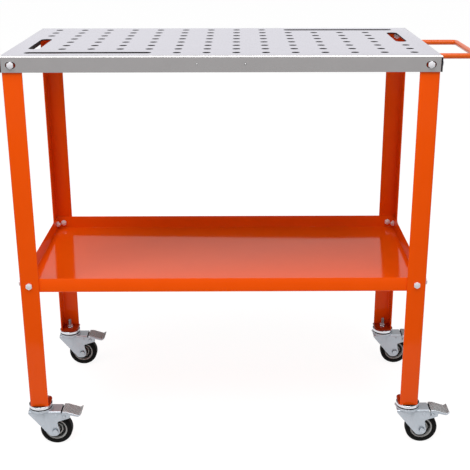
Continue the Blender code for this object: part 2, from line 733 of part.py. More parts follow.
def pedal_mesh():
    """Pressed brake pedal: tread, side flanges round the fork's arms, and the brake tongue."""
    flat_end = PEDAL_START + PEDAL_FLAT
    slope_end = flat_end + PEDAL_SLOPE
    lip_end = slope_end + PEDAL_LIP
    low = WEB_TOP - PEDAL_FALL
    lip = low + PEDAL_LIP_RISE
    skirt = WEB_TOP - PEDAL_SKIRT
    outside = side_plate(rounded([
        (PEDAL_START, WEB_TOP, 0.0), (PEDAL_START, skirt, PEDAL_SHEET),
        (flat_end, skirt, PEDAL_FLAT / 2),
        (slope_end, low - PEDAL_SKIRT_TIP, PEDAL_SKIRT_TIP), (lip_end, lip - PEDAL_SHEET, 0.0),
        (lip_end, lip, 0.0), (slope_end, low, 0.0), (flat_end, WEB_TOP, 0.0),
    ]), PEDAL_WIDTH)
    under = WEB_TOP - PEDAL_SHEET
    deep = skirt - PEDAL_SKIRT
    behind = PEDAL_START - PEDAL_GAP
    hollow = side_plate([
        Vector((behind, under)), Vector((behind, deep)), Vector((lip_end, deep)),
        Vector((lip_end, lip - PEDAL_SHEET - MERGE_DISTANCE)), Vector((slope_end, low - PEDAL_SHEET)),
        Vector((flat_end, under)),
    ], PEDAL_INSIDE)

    tongue_x = PIN_AT.x + TONGUE_AHEAD
    circle = WHEEL_DIAMETER / 2 / math.cos(math.pi / WHEEL_FACETS) + BRAKE_LIFT
    tip = AXLE_AT.z + math.sqrt(circle ** 2 - (tongue_x - AXLE_AT.x) ** 2)
    root = WEB_TOP - PEDAL_SHEET / 2
    tongue = block(
        (TONGUE_SHEET, TONGUE_WIDTH, root - tip), (tongue_x + TONGUE_SHEET / 2, 0.0, (root + tip) / 2))
    across = Vector((0.0, PEDAL_WIDTH, 0.0))
    pin = rod(bore(PIN_DIAMETER / 2, ROUND_FACETS), PIN_AT - across, PIN_AT + across)
    return cut(joined(cut(outside, hollow), tongue), pin)


# Assembly

def place(name, mesh, material, at=(0.0, 0.0, 0.0), turn=None, parent=None):
    """Put a mesh into the table as a named piece, smooth where it is round."""
    if not mesh.materials:
        mesh.materials.append(material)
        mesh.shade_smooth()
        mesh.set_sharp_from_angle(angle=SMOOTH_ANGLE)
    piece = bpy.data.objects.new(name, mesh)
    piece.location = at
    if turn is not None:
        piece.rotation_euler = turn.to_euler()
    piece.parent = parent
    bpy.data.collections["mobile_welding_table"].objects.link(piece)
    return piece


def guide(name, at, parent=None):
    """Empty that carries pieces."""
    empty = bpy.data.objects.new(name, None)
    empty.location = at
    empty.parent = parent
    bpy.data.collections["mobile_welding_table"].objects.link(empty)
    return empty


def bolt_turn(outward):
    """Rotation that points a bolt's head outward, with a corner of its hexagon up."""
    head = Vector(outward)
    up = Vector((0.0, 0.0, 1.0))
    return Matrix((up, head.cross(up), head)).transposed()


def build_frame(table, paint, coat, zinc):
    """Top, legs, shelf, handle and their fasteners."""
    place("table_top", table_top_mesh(), coat, (0.0, 0.0, TOP_HEIGHT), parent=table)
    place("storage_shelf", shelf_mesh(), paint["shelf"], (0.0, 0.0, SHELF_HEIGHT), parent=table)
    place("push_handle", handle_mesh(), paint["handle"], parent=table)
    screw = handle_screw_mesh()
    for name, side in (("front", -1), ("rear", 1)):
        at = (TOP_LENGTH / 2, side * HANDLE_SPAN / 2, HANDLE_HEIGHT)
        place(f"handle_screw_{name}", screw, zinc, at, bolt_turn((1, 0, 0)), table)

    leg = leg_mesh()
    apron_bolt = bolt_mesh(TOP_SHEET + CLEARANCE + LEG_SHEET)
    shelf_bolt = bolt_mesh(LEG_SHEET + CLEARANCE + SHELF_SHEET)
    for index, (corner, (sx, sy)) in enumerate(CORNERS.items()):
        at = (sx * LEG_CORNER.x, sy * LEG_CORNER.y, 0.0)
        quarter = Matrix.Rotation(index * math.pi / 2, 3, "Z")
        place(f"leg_{corner}", leg, paint["leg"], at, quarter, table)
        end, side = Vector((sx, 0, 0)), Vector((0, sy, 0))
        across_end = (sx * TOP_LENGTH / 2, sy * BOLT_AT.y, APRON_BOLT_HEIGHT)
        across_side = (sx * BOLT_AT.x, sy * TOP_DEPTH / 2, APRON_BOLT_HEIGHT)
        place(f"apron_bolt_end_{corner}", apron_bolt, zinc, across_end, bolt_turn(end), table)
        place(f"apron_bolt_side_{corner}", apron_bolt, zinc, across_side, bolt_turn(side), table)
        across_end = (sx * LEG_CORNER.x, sy * BOLT_AT.y, SHELF_BOLT_HEIGHT)
        across_side = (sx * BOLT_AT.x, sy * LEG_CORNER.y, SHELF_BOLT_HEIGHT)
        place(f"shelf_bolt_end_{corner}", shelf_bolt, zinc, across_end, bolt_turn(end), table)
        place(f"shelf_bolt_side_{corner}", shelf_bolt, zinc, across_side, bolt_turn(side), table)


def build_casters(table, zinc, zinc_fork, rim, rubber):
    """Four casters, each swivelling about its stem, rolling on its axle and braked by its pedal."""
    stem, bearing, fork = stem_mesh(), bearing_mesh(), fork_mesh()
    axle = headed_pin_mesh(AXLE_DIAMETER / 2, AXLE_HEAD_DIAMETER / 2, AXLE_HEAD, FORK_WIDTH)
    pin = headed_pin_mesh(PIN_DIAMETER / 2, PIN_HEAD_DIAMETER / 2, PIN_HEAD, PEDAL_WIDTH)
    hub, tyre, pedal = hub_mesh(), tyre_mesh(), pedal_mesh()
    pedal.transform(Matrix.Translation(-PIN_AT))
    for corner, (sx, sy) in CORNERS.items():
        swivel = guide(f"swivel_{corner}", (sx * STEM_AT.x, sy * STEM_AT.y, CASTER_HEIGHT), table)
        place(f"caster_stem_{corner}", stem, zinc, parent=swivel)
        place(f"caster_bearing_{corner}", bearing, zinc, parent=swivel)
        place(f"caster_fork_{corner}", fork, zinc_fork, parent=swivel)
        place(f"wheel_axle_{corner}", axle, zinc, AXLE_AT, parent=swivel)
        place(f"wheel_hub_{corner}", hub, rim, AXLE_AT, parent=swivel)
        place(f"wheel_tyre_{corner}", tyre, rubber, AXLE_AT, parent=swivel)
        place(f"brake_pin_{corner}", pin, zinc, PIN_AT, parent=swivel)
        place(f"brake_pedal_{corner}", pedal, zinc_fork, PIN_AT, parent=swivel)


def main():
    reset_scene()
    paint = {
        "leg": make_material("leg_orange_paint", "EE4D0A", 0.32, 0.0),
        "shelf": make_material("shelf_orange_paint", "EE4D0A", 0.25, 0.0),
        "handle": make_material("handle_orange_paint", "EE4D0A", 0.3, 0.0),
    }
    coat = make_material("top_grey_coat", "C6C6CA", 0.4, 0.3)
    zinc = make_material("zinc_plate", "D2D4D6", 0.3, 1.0)
    zinc_fork = make_material("zinc_pressing", "C3C8CE", 0.35, 1.0)
    rim = make_material("wheel_grey", "A3A3A1", 0.5, 0.2)
    rubber = make_material("tyre_black_rubber", "191919", 0.75, 0.0)
    table = guide("table", ((LEFT_END - RIGHT_END) / 2, 0.0, 0.0))
    build_frame(table, paint, coat, zinc)
    build_casters(table, zinc, zinc_fork, rim, rubber)


main()
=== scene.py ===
"""Looks of the mobile welding table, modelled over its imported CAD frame.

Metres, +Z up. The front faces -Y and the push handle is at the +X end.
"""

import json
import math

import bmesh
import bpy
from mathutils import Matrix, Vector


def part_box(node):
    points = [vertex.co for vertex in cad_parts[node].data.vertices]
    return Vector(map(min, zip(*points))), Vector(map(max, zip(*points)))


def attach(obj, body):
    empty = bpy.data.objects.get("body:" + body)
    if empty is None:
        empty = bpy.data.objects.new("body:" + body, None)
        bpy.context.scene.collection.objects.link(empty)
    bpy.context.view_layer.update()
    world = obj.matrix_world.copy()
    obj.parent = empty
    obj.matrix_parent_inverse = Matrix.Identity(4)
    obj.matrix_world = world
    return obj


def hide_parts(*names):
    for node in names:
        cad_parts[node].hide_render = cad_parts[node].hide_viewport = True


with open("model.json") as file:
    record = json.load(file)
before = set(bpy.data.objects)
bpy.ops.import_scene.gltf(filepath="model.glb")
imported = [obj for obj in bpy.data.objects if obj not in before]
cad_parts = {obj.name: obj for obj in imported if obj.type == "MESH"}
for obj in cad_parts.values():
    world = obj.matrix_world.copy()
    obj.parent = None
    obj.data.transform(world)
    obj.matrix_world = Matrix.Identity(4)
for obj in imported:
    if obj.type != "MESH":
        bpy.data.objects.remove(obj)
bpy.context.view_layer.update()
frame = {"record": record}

# Folded top
TOP_SHEET = 0.003
TOP_BEND = 0.005            # outside of the fold
TOP_BEND_STEPS = 8
HOLE_DIAMETER = 0.016
HOLE_PITCH_X = 0.0622
HOLE_PITCH_Y = 0.0535
HOLE_COLUMNS = 14
HOLE_ROWS = 8
HOLE_WEB = 0.005            # least steel between a hole and a slot
LONG_SLOT_LENGTH = 0.2648
LONG_SLOT_WIDTH = 0.020
CROSS_SLOT_LENGTH = 0.160
CROSS_SLOT_WIDTH = 0.024
DEBURR = 0.0004             # broken lower edge of a punched hole
CHAMFER = 0.0007            # of the upper edge of a hole
CORNER_SLIT = 0.0008
APRON_SLOT_LENGTH = 0.020
APRON_SLOT_WIDTH = 0.012
APRON_BOLT_DROP = 0.0193
APRON_HOLE_DIAMETER = 0.0028
APRON_HOLE_SPREAD = 0.100   # between the two small holes of the front apron

# Angle legs
LEG_SHEET = 0.0025
LEG_BEND = 0.004            # outside of the fold
LEG_BEND_STEPS = 6
LEG_FLANGE = 0.0425
FOOT_SHEET = 0.004
FOOT_OVERHANG = 0.003
FOOT_ROUND = 0.014
FOOT_ROUND_STEPS = 10
FOOT_RECESS = 0.0005

# Tray shelf
SHELF_SHEET = 0.0015
SHELF_BEND = 0.003          # outside of the folds
SHELF_BEND_STEPS = 5
SHELF_CORNER = 0.0045
SHELF_CORNER_STEPS = 6

# Bolts
BOLT_DIAMETER = 0.008
BOLT_FLATS = 0.013
BOLT_HEAD = 0.0053
BOLT_NUT = 0.006
BOLT_TAIL = 0.003           # thread past the nut
BOLT_INSET = 0.0205
APRON_GRIP = 0.0058
SHELF_GRIP = 0.0043
SCREW_DIAMETER = 0.005
SCREW_FLATS = 0.008
SCREW_HEAD = 0.0035
SEAT_GAP = 0.0003
HEX_FACE = 0.47             # radius of a hexagon's flat end, in widths across its flats
HEX_CHAMFER = math.radians(30)
THREAD_PITCH = 0.0015
THREAD_DEPTH = 0.0008

# Push handle
HANDLE_ROD = 0.012
HANDLE_SIDES = 24
HANDLE_BEND = 0.011         # of the centreline
HANDLE_BEND_STEPS = 10

# Caster, about its stem axis, with heights from the floor
CASTER_TOP = 0.1046
STEM_DIAMETER = 0.008
STEM_NUT_FLATS = 0.013
STEM_NUT = 0.0065
STEM_WASHER = 0.0015
STEM_WASHER_DIAMETER = 0.016
KINGPIN_DIAMETER = 0.016
KINGPIN_HEAD = 0.003
HEAD_DIAMETER = 0.055
HEAD_TOP = 0.1043
HEAD_BOTTOM = 0.0977
HEAD_ROUND = 0.0014
BALL_DIAMETER = 0.0026
BALL_COUNT = 24
BALL_SEGMENTS = 10
BALL_RINGS = 6
RACE_RECESS = 0.003         # of the balls, from the edge of the swivel head
RACE_TOP = 0.0974
RACE_BOTTOM = 0.0948
RACE_BORE = 0.028
DISH_TOP = 0.0945
DISH_ROUND = 0.001
WEB_TOP = 0.0900
FORK_SHEET = 0.0025
FORK_WIDTH = 0.040
FORK_BEND = 0.004           # outside of the fold
FORK_BEND_STEPS = 5
FORK_BACK = 0.027
FORK_BACK_EDGE = 0.006
FORK_TIP = 0.0125
FORK_NOTCH_AHEAD = 0.005
FORK_NOTCH_RISE = 0.0255
FORK_NOTCH_ROUND = 0.005
FORK_WEB_REACH = 0.049
FORK_ARM_DROP = 0.005
FORK_ARM_DEPTH = 0.017
FORK_ARM_END = 0.070
FORK_ARM_ROUND = 0.006
RIB_START = 0.0055          # pressed rib of the cheek, from the stem axis
RIB_END = 0.0135
RIB_HEIGHT = 0.0006
RIB_FLANK = 0.002
RIVET_X = 0.037
RIVET_Z = 0.080
RIVET_DIAMETER = 0.007
RIVET_RISE = 0.0015
AXLE_X = 0.034
AXLE_Z = 0.0375
AXLE_DIAMETER = 0.008
AXLE_HEAD_DIAMETER = 0.0145
AXLE_HEAD = 0.004
PIN_X = 0.057
PIN_Z = 0.079
PIN_DIAMETER = 0.005
PIN_HEAD_DIAMETER = 0.008
PIN_HEAD = 0.002
HEAD_SLOPE = 0.001          # of the flanks of axle and pin heads

# Wheel
WHEEL_DIAMETER = 0.075
TYRE_WIDTH = 0.025
TYRE_DEPTH = 0.011
TYRE_ROUND = 0.006
TYRE_BEAD = 0.001           # round of the inner edges
RIM_WIDTH = 0.020
RIM_WALL = 0.0035
HUB_DIAMETER = 0.018
HUB_WIDTH = 0.0344
HUB_DRAFT = 0.001           # slope of the moulded boss from its middle to an end
SPOKE_COUNT = 6
SPOKE_WIDTH = 0.005
SPOKE_DEPTH = 0.012
SPOKE_ROOT = 0.001          # from the bore to the inner end of a spoke
WHEEL_WEB = 0.003
WEB_RING = 0.0145           # moulded ring on the web, to its middle
WEB_RING_WIDTH = 0.0024
WEB_RING_DEPTH = 0.013

# Brake pedal, with the side outline of its flanges from the skirt to the lip at the tip
PEDAL_START = 0.0525
PEDAL_SHEET = 0.0015
PEDAL_FOLD = 0.0022
PEDAL_FOLD_STEPS = 4
PEDAL_FOLD_ANGLE = math.radians(60)
PEDAL_HALF = 0.0218
PEDAL_FLAT_END = 0.062
PEDAL_HEEL_ROUND = 0.012    # of the tread, where it starts to slope down
PEDAL_LOW_X = 0.090
PEDAL_LOW_Z = 0.081
PEDAL_TOE_ROUND = 0.003     # of the tread, where it turns up
PEDAL_TIP_X = 0.096
PEDAL_TIP_Z = 0.085
PEDAL_RIM = 0.0045          # flange past the skirt
SKIRT_Z = 0.0735
SKIRT_START_ROUND = 0.002
SKIRT_END_X = 0.065
SKIRT_END_ROUND = 0.004
FLANGE_START_X = 0.070
FLANGE_START_Z = 0.0815
FLANGE_START_ROUND = 0.005
FLANGE_END_X = 0.082
FLANGE_END_Z = 0.0785
FLANGE_END_ROUND = 0.008
LIP_START_X = 0.089
LIP_START_Z = 0.077
LIP_START_ROUND = 0.003
LIP_END_X = 0.097
LIP_END_Z = 0.0825
STUD_PITCH = 0.0028         # rows of the tread's knurl
STUD_RADIUS = 0.0017        # to the corners of a stud's foot
STUD_TAPER = 0.5
STUD_RISE = 0.0005
TONGUE_X = 0.061
TONGUE_SHEET = 0.0025
TONGUE_WIDTH = 0.020
TONGUE_GAP = 0.0032         # to the tyre, with the pedal up

# Camera that took the photograph, fitted to the holes and edges of the top, the legs and the shelf
CAMERA_LENS = 71.83
CAMERA_SENSOR = 36.0
CAMERA_SHIFT = -0.0219      # the frame is cropped more on its right
CAMERA_FROM_TOP = Vector((0.0362, -2.1649, 0.2915))
CAMERA_PITCH = math.radians(-19.399)
CAMERA_YAW = math.radians(0.389)
CAMERA_ROLL = math.radians(-0.05)

# Modelling
TURN_STEPS = 48
SMALL_TURN_STEPS = 24       # of threads and rivets
PIN_STEPS = 32
TYRE_STEPS = 72
ARC_STEPS = 6
HOLE_SIDES = 32
TOUCH = 0.00001
MERGE = 0.000001
SMOOTH = math.radians(32)
EDGE_BREAK = 0.0004
FACING = 0.9                # cosine of a face that looks along an axis
LEANING = 0.5               # cosine of a face that leans towards an axis

CORNERS = {
    "front_left": (-1, -1),
    "front_right": (1, -1),
    "rear_right": (1, 1),
    "rear_left": (-1, 1),
}
top_low, top_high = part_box("table_top")
TOP_CENTRE = (top_low + top_high) / 2
TOP_HEIGHT = top_high.z


# Modelling by hand

def close_edit():
    """Return to object mode with nothing selected."""
    if bpy.context.mode != "OBJECT":
        bpy.ops.object.mode_set(mode="OBJECT")
    bpy.ops.object.select_all(action="DESELECT")


def activate(*pieces):
    """Select pieces in object mode, the first of them active."""
    close_edit()
    for piece in pieces:
        piece.select_set(True)
    bpy.context.view_layer.objects.active = pieces[0]


def open_edit(piece):
    """Open one piece in edit mode with nothing selected in it."""
    activate(piece)
    bpy.ops.object.mode_set(mode="EDIT")
    bpy.ops.mesh.select_all(action="DESELECT")


def select_all():
    """Select the whole open piece."""
    bpy.ops.mesh.select_all(action="SELECT")


def begin(name):
    """Name the primitive just added, put its place into its mesh and open it."""
    piece = bpy.context.object
    piece.name = name
    bpy.ops.object.transform_apply()
    open_edit(piece)
    return piece


def add_box(name, low, high):
    """Box between two corners, open in edit mode."""
    close_edit()
    low, high = Vector(low), Vector(high)
    bpy.ops.mesh.primitive_cube_add(size=1.0, location=(low + high) / 2, scale=high - low)
    return begin(name)


def add_cylinder(name, radius, low, high, sides):
    """Upright cylinder about Z with a flat towards +Y, open in edit mode."""
    close_edit()
    bpy.ops.mesh.primitive_cylinder_add(
        vertices=sides, radius=radius, depth=high - low,
        location=(0.0, 0.0, (low + high) / 2), rotation=(0.0, 0.0, math.pi / sides))
    return begin(name)


def extrude(x, y, z):
    """Extrude what is selected in the open piece."""
    bpy.ops.mesh.extrude_region_move(TRANSFORM_OT_translate={"value": (x, y, z)})


def add_line(name, points):
    """Line of edges extruded from one vertex through points, open and selected in edit mode."""
    close_edit()
    points = [Vector(point) for point in points]
    bpy.ops.mesh.primitive_plane_add(size=TOUCH, location=points[0])
    piece = begin(name)
    bpy.ops.mesh.select_mode(type="VERT")
    select_all()
    bpy.ops.mesh.merge(type="CENTER")
    for here, there in zip(points, points[1:]):
        extrude(*(there - here))
    select_all()
    return piece


def add_turned(name, profile, steps=TURN_STEPS):
    """Profile of (radius, height) points spun about Z."""
    piece = add_line(name, [(radius, 0.0, height) for radius, height in profile])
    bpy.ops.mesh.spin(steps=steps, angle=2 * math.pi, center=(0.0, 0.0, 0.0), axis=(0.0, 0.0, 1.0))
    tidy(piece)
    return piece


def add_ring(name, inner, outer, low, high):
    """Plain turned ring between two radii and two heights."""
    return add_turned(name, [(inner, high), (outer, high), (outer, low), (inner, low), (inner, high)])


def add_side_form(outline, width):
    """Closed outline of (x, z) points made into a solid across Y."""
    piece = add_line("outline", [(x, -width / 2, z) for x, z in outline])
    bpy.ops.mesh.edge_face_add()
    extrude(0.0, width, 0.0)
    tidy(piece)
    return piece


def pick(kind, test):
    """Select only the vertices, edges or faces of the open piece that pass a test."""
    bpy.ops.mesh.select_mode(type=kind)
    bpy.ops.mesh.select_all(action="DESELECT")
    mesh = bpy.context.edit_object.data
    shape = bmesh.from_edit_mesh(mesh)
    for part in {"VERT": shape.verts, "EDGE": shape.edges, "FACE": shape.faces}[kind]:
        if test(part):
            part.select_set(True)
    shape.select_flush_mode()
    bmesh.update_edit_mesh(mesh)


def at(value, target):
    """True where two coordinates meet."""
    return abs(value - target) < TOUCH


def upright(edge):
    """True for an edge along Z."""
    a, b = edge.verts
    return at(a.co.x, b.co.x) and at(a.co.y, b.co.y)


def stands_at(edge, x, y):
    """True for an edge along Z at a spot."""
    return upright(edge) and at(edge.verts[0].co.x, x) and at(edge.verts[0].co.y, y)


def lies_at(edge, height):
    """True for an edge at one height."""
    return all(at(vert.co.z, height) for vert in edge.verts)


def drop_faces(test):
    """Delete the faces of the open piece that pass a test."""
    pick("FACE", test)
    bpy.ops.mesh.delete(type="FACE")


def round_edges(offset, steps):
    """Round the selected edges of the open piece."""
    bpy.ops.mesh.bevel(offset=offset, segments=steps, profile=0.5)


def cut_line(point, normal):
    """Cut edges into the open piece where a plane meets it."""
    select_all()
    bpy.ops.mesh.bisect(plane_co=point, plane_no=normal)


def tidy(piece):
    """Merge doubled points and turn every face outward."""
    open_edit(piece)
    select_all()
    bpy.ops.mesh.remove_doubles(threshold=MERGE)
    bpy.ops.mesh.normals_make_consistent(inside=False)
    close_edit()


def modify(piece, kind, **settings):
    """Add a modifier, set it and apply it."""
    activate(piece)
    modifier = piece.modifiers.new(kind.title(), kind)
    for name, value in settings.items():
        setattr(modifier, name, value)
    bpy.ops.object.modifier_apply(modifier=modifier.name)


def thicken(piece, sheet):
    """Give a bent surface the thickness of its sheet, on its inner side."""
    modify(piece, "SOLIDIFY", thickness=sheet, offset=-1.0, use_even_offset=True)


def break_edges(piece, width=EDGE_BREAK):
    """Round the sharp edges a little, as a press or a coat of paint leaves them."""
    modify(piece, "BEVEL", width=width, segments=2, limit_method="ANGLE", angle_limit=SMOOTH)


def discard(piece):
    """Remove a piece that has done its work."""
    bpy.data.objects.remove(piece, do_unlink=True)


def trim(piece, tool, operation="DIFFERENCE"):
    """Cut a piece with a tool, or keep what both share."""
    modify(piece, "BOOLEAN", operation=operation, solver="EXACT", object=tool)
    discard(tool)


def join(piece, *others):
    """Make one object of several."""
    activate(piece, *others)
    bpy.ops.object.join()
    return piece


def copy_piece(piece, name, matrix):
    """Copy of a piece with its own mesh, moved in its mesh."""
    twin = piece.copy()
    twin.data = piece.data.copy()
    twin.name = name
    bpy.context.scene.collection.objects.link(twin)
    twin.data.transform(matrix)
    return twin


def spread(piece, count):
    """A piece and its copies, evenly round Z."""
    pieces = [piece]
    for index in range(1, count):
        pieces.append(copy_piece(piece, "copy", spin(2 * math.pi * index / count, "Z")))
    return pieces


def shift(x, y, z):
    """Move as a matrix."""
    return Matrix.Translation((x, y, z))


def spin(angle, axis):
    """Turn about an axis as a matrix."""
    return Matrix.Rotation(angle, 4, axis)


def across(x, z):
    """Matrix that lays a turned piece along Y at an axle."""
    return shift(x, 0.0, z) @ spin(math.pi / 2, "X")


def face_turn(outward):
    """Matrix that turns +Z to face outward, with +Y up."""
    out = Vector(outward)
    up = Vector((0.0, 0.0, 1.0))
    return Matrix((up.cross(out), up, out)).transposed().to_4x4()


def paint(material, *pieces):
    """Give whole pieces a material."""
    for piece in pieces:
        piece.data.materials.append(material)


def coat(piece, material, test):
    """Give the faces that pass a test one more material."""
    paint(material, piece)
    open_edit(piece)
    pick("FACE", test)
    piece.active_material_index = len(piece.data.materials) - 1
    bpy.ops.object.material_slot_assign()
    close_edit()


def finish(piece, material):
    """Paint a piece that has no material yet and smooth it where it is round."""
    if not piece.data.materials:
        paint(material, piece)
    activate(piece)
    bpy.ops.object.shade_smooth_by_angle(angle=SMOOTH)
    return piece


def fit(piece, node):
    """Let a piece stand for a CAD node and move with that node's body."""
    body = next(name for name, nodes in frame["record"]["behaviour"]["bodies"].items() if node in nodes)
    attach(piece, body)
    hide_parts(node)


def rounded(corners, closed=True):
    """Outline through corners (x, z, radius), each turned with an arc of its radius."""
    points = []
    last = len(corners) - 1
    for index, (x, z, radius) in enumerate(corners):
        here = Vector((x, z))
        if radius <= 0.0 or (not closed and index in (0, last)):
            points.append(here)
            continue
        before = (Vector(corners[index - 1][:2]) - here).normalized()
        after = (Vector(corners[(index + 1) % len(corners)][:2]) - here).normalized()
        half = before.angle(after) / 2
        centre = here + (before + after).normalized() * radius / math.sin(half)
        start = here + before * radius / math.tan(half) - centre
        end = here + after * radius / math.tan(half) - centre
        sweep = start.angle_signed(end)
        for step in range(ARC_STEPS + 1):
            points.append(centre + Matrix.Rotation(-sweep * step / ARC_STEPS, 2) @ start)
    return points


# Materials

def linear(hex_colour):
    """Linear colour of an sRGB hex colour."""
    channels = [int(hex_colour[i:i + 2], 16) / 255 for i in (0, 2, 4)]
    return [c / 12.92 if c <= 0.04045 else ((c + 0.055) / 1.055) ** 2.4 for c in channels] + [1.0]


def add_node(owner, kind, sockets, **settings):
    """Add a node, or take one that is there, and set it.

    A socket gets a value, or a link from a pair of a node and its output.
    """
    tree = owner.node_tree
    node = tree.nodes.new("ShaderNode" + kind) if isinstance(kind, str) else kind
    for name, value in settings.items():
        setattr(node, name, value)
    for name, value in sockets.items():
        if isinstance(value, tuple) and isinstance(value[0], bpy.types.Node):
            tree.links.new(value[0].outputs[value[1]], node.inputs[name])
        else:
            node.inputs[name].default_value = value
    return node


def new_material(name):
    """Material, and the nodes that it starts with."""
    material = bpy.data.materials.new(name)
    material.use_nodes = True
    return material, material.node_tree.nodes


def begin_surface(name, metallic, specular=0.5):
    """Material with its shader, and the place on the object that its textures follow."""
    material, nodes = new_material(name)
    shader = nodes["Principled BSDF"]
    add_node(material, shader, {"Metallic": metallic, "Specular IOR Level": specular})
    return material, shader, (add_node(material, "TexCoord", {}), "Object")


def add_noise(material, place, size, detail):
    """Noise with features of a size in millimetres."""
    return add_node(material, "TexNoise", {"Vector": place, "Scale": 1000.0 / size, "Detail": detail}), "Fac"


def add_tint(material, noise, dark, light):
    """Colour that wanders with a noise between two hex colours."""
    tint = add_node(material, "ValToRGB", {"Fac": noise})
    for stop, colour in zip(tint.color_ramp.elements, (dark, light)):
        stop.color = linear(colour)
    return tint, "Color"


def add_gloss(material, noise, smooth, rough):
    """Roughness that wanders with a noise."""
    return add_node(material, "MapRange", {"Value": noise, "To Min": smooth, "To Max": rough}), "Result"


def add_grain(material, noise, strength, height):
    """Fine unevenness of the surface."""
    return add_node(material, "Bump", {"Height": noise, "Strength": strength, "Distance": height}), "Normal"


def clouded(name, tints, gloss, cloud, grain, metallic=0.0, specular=0.5):
    """Material whose colour and gloss wander with a cloud of noise, under a fine grain.

    The cloud is a size in millimetres and a detail. The grain is those, a strength and a height.
    """
    material, shader, place = begin_surface(name, metallic, specular)
    patches = add_noise(material, place, *cloud)
    size, detail, strength, height = grain
    fine = add_noise(material, place, size, detail)
    add_node(material, shader, {
        "Base Color": add_tint(material, patches, *tints),
        "Roughness": add_gloss(material, patches, *gloss),
        "Normal": add_grain(material, fine, strength, height)})
    return material


def orange_powder_coat(name, tints, gloss=(0.07, 0.13), specular=0.1):
    """Powder coat baked on steel: even orange, wet gloss, and the faint peel of melted powder."""
    return clouded(name, tints, gloss, cloud=(60, 3.0), grain=(2.5, 2.0, 0.05, 0.0003), specular=specular)


def satin_grey_coat(name, tints, gloss):
    """Satin grey plate on rolled sheet: cool grey, soft sheen, rolling lines along the sheet."""
    material, shader, place = begin_surface(name, 0.65)
    patches = add_noise(material, place, 35, 5.0)
    along = add_node(material, "Mapping", {"Vector": place, "Scale": (0.02, 1.0, 1.0)})
    rolled = add_noise(material, (along, "Vector"), 0.8, 3.0)
    add_node(material, shader, {
        "Base Color": add_tint(material, patches, *tints),
        "Roughness": add_gloss(material, rolled, *gloss),
        "Normal": add_grain(material, rolled, 0.012, 0.0002),
        "Specular Tint": linear("F2F2FF")})
    return material


def zinc_plate(name, tints, gloss, cloud_size=14, metallic=1.0):
    """Zinc plate on steel: bright bluish metal with the cloudy grain of the plating bath."""
    return clouded(
        name, tints, gloss, cloud=(cloud_size, 4.0), grain=(0.7, 2.0, 0.06, 0.0002), metallic=metallic)


def grey_polypropylene(name, tints):
    """Moulded grey polypropylene: even mid grey with a fine matt grain from the mould."""
    return clouded(name, tints, gloss=(0.42, 0.42), cloud=(0.9, 3.0), grain=(0.9, 3.0, 0.1, 0.0002))


def matt_black(name, tints):
    """Matt black surface: near black and dull, with a dusty bloom in patches."""
    return clouded(name, tints, (0.5, 0.75), cloud=(12, 6.0), grain=(0.6, 2.0, 0.15, 0.0003), specular=0.08)


# Legs and shelf; painted shade on a leg's covered spots and foot plate; painted shade and a softer sheen on
# the handle's rod
ORANGE = orange_powder_coat("gloss_orange_powder_coat", ("F05206", "F65707"))
SHADE_ORANGE = orange_powder_coat("painted_shade_orange_powder_coat", ("8E2A05", "A03206"))
SOFT_ORANGE = orange_powder_coat("soft_orange_powder_coat_painted_shade", ("D25505", "DC5B06"), (0.26, 0.32), 0.36)

# Top: satin outside, painted shade inside, and nearly black cut edges, partly dark oxide and partly painted
# shade
SATIN = satin_grey_coat("satin_grey_plated_sheet", ("C0BDBD", "C7C4C4"), (0.14, 0.18))
TOP_INSIDE_SHADE = matt_black("top_inside_painted_shade", ("38383B", "464649"))
CUT_EDGE_AND_SHADE = matt_black("oxide_cut_edge_and_painted_shade", ("161416", "242024"))

# Zinc: whitish on the frame bolts, bright on turned steel, bluish on pressings; darker copies as painted
# shade on the fork's web, on flanks and inside
WHITE_ZINC = zinc_plate("white_zinc_plate", ("EDECF0", "F5F4F8"), (0.30, 0.42), 9, 0.3)
BRIGHT_ZINC = zinc_plate("bright_zinc_plate", ("D4D6DB", "E4E5EA"), (0.20, 0.30), 9)
BLUE_ZINC = zinc_plate("blue_zinc_pressing", ("B2BAC2", "C4CBD3"), (0.36, 0.48), metallic=0.6)
FORK_WEB_SHADE_ZINC = zinc_plate("fork_web_zinc_painted_shade", ("90969C", "A0A6AC"), (0.40, 0.55), metallic=0.6)
FLANK_SHADE_ZINC = zinc_plate("zinc_flank_painted_shade", ("858C93", "959CA3"), (0.40, 0.55))
ZINC_INSIDE_SHADE = zinc_plate("zinc_inside_painted_shade", ("4A4D52", "585B60"), (0.50, 0.65))

# Tread: painted shade on the grooves between the studs, and paler studs as painted light
GROOVE_SHADE_ZINC = zinc_plate("zinc_knurl_groove_painted_shade", ("5C5E60", "727476"), (0.50, 0.65), metallic=0.1)
STUD_LIGHT_ZINC = zinc_plate("zinc_knurl_stud_painted_light", ("CACCCC", "D8DADA"), (0.45, 0.60), metallic=0.1)

# Wheel and bearing: grey moulding with painted shade on its web and spokes, black tyre, brown grease, and
# painted shade on top of the swivel head
GREY_WHEEL = grey_polypropylene("moulded_grey_polypropylene", ("9D9D9B", "B2B2B0"))
WHEEL_WEB_SHADE = matt_black("wheel_web_painted_shade", ("2E2E2E", "3C3C3B"))
RUBBER = matt_black("vulcanised_black_rubber", ("0B0B0B", "151514"))
GREASE_AND_SHADE = matt_black("grease_and_painted_shade", ("1E1C1A", "2C2926"))


# Frame pieces

def add_drill(radius):
    """Round punch about Z at the work surface, flared where it breaks each face of the sheet."""
    drill = add_cylinder("drill", radius, DEBURR - TOP_SHEET, -CHAMFER, HOLE_SIDES)
    for up, wide in ((1, CHAMFER), (-1, DEBURR)):
        flare = (radius + wide) / radius
        pick("FACE", lambda face: face.normal.z * up > FACING)
        extrude(0.0, 0.0, up * wide)
        bpy.ops.transform.resize(value=(flare, flare, 1.0), center_override=(0.0, 0.0, 0.0))
        extrude(0.0, 0.0, up * TOP_SHEET)
    close_edit()
    return drill


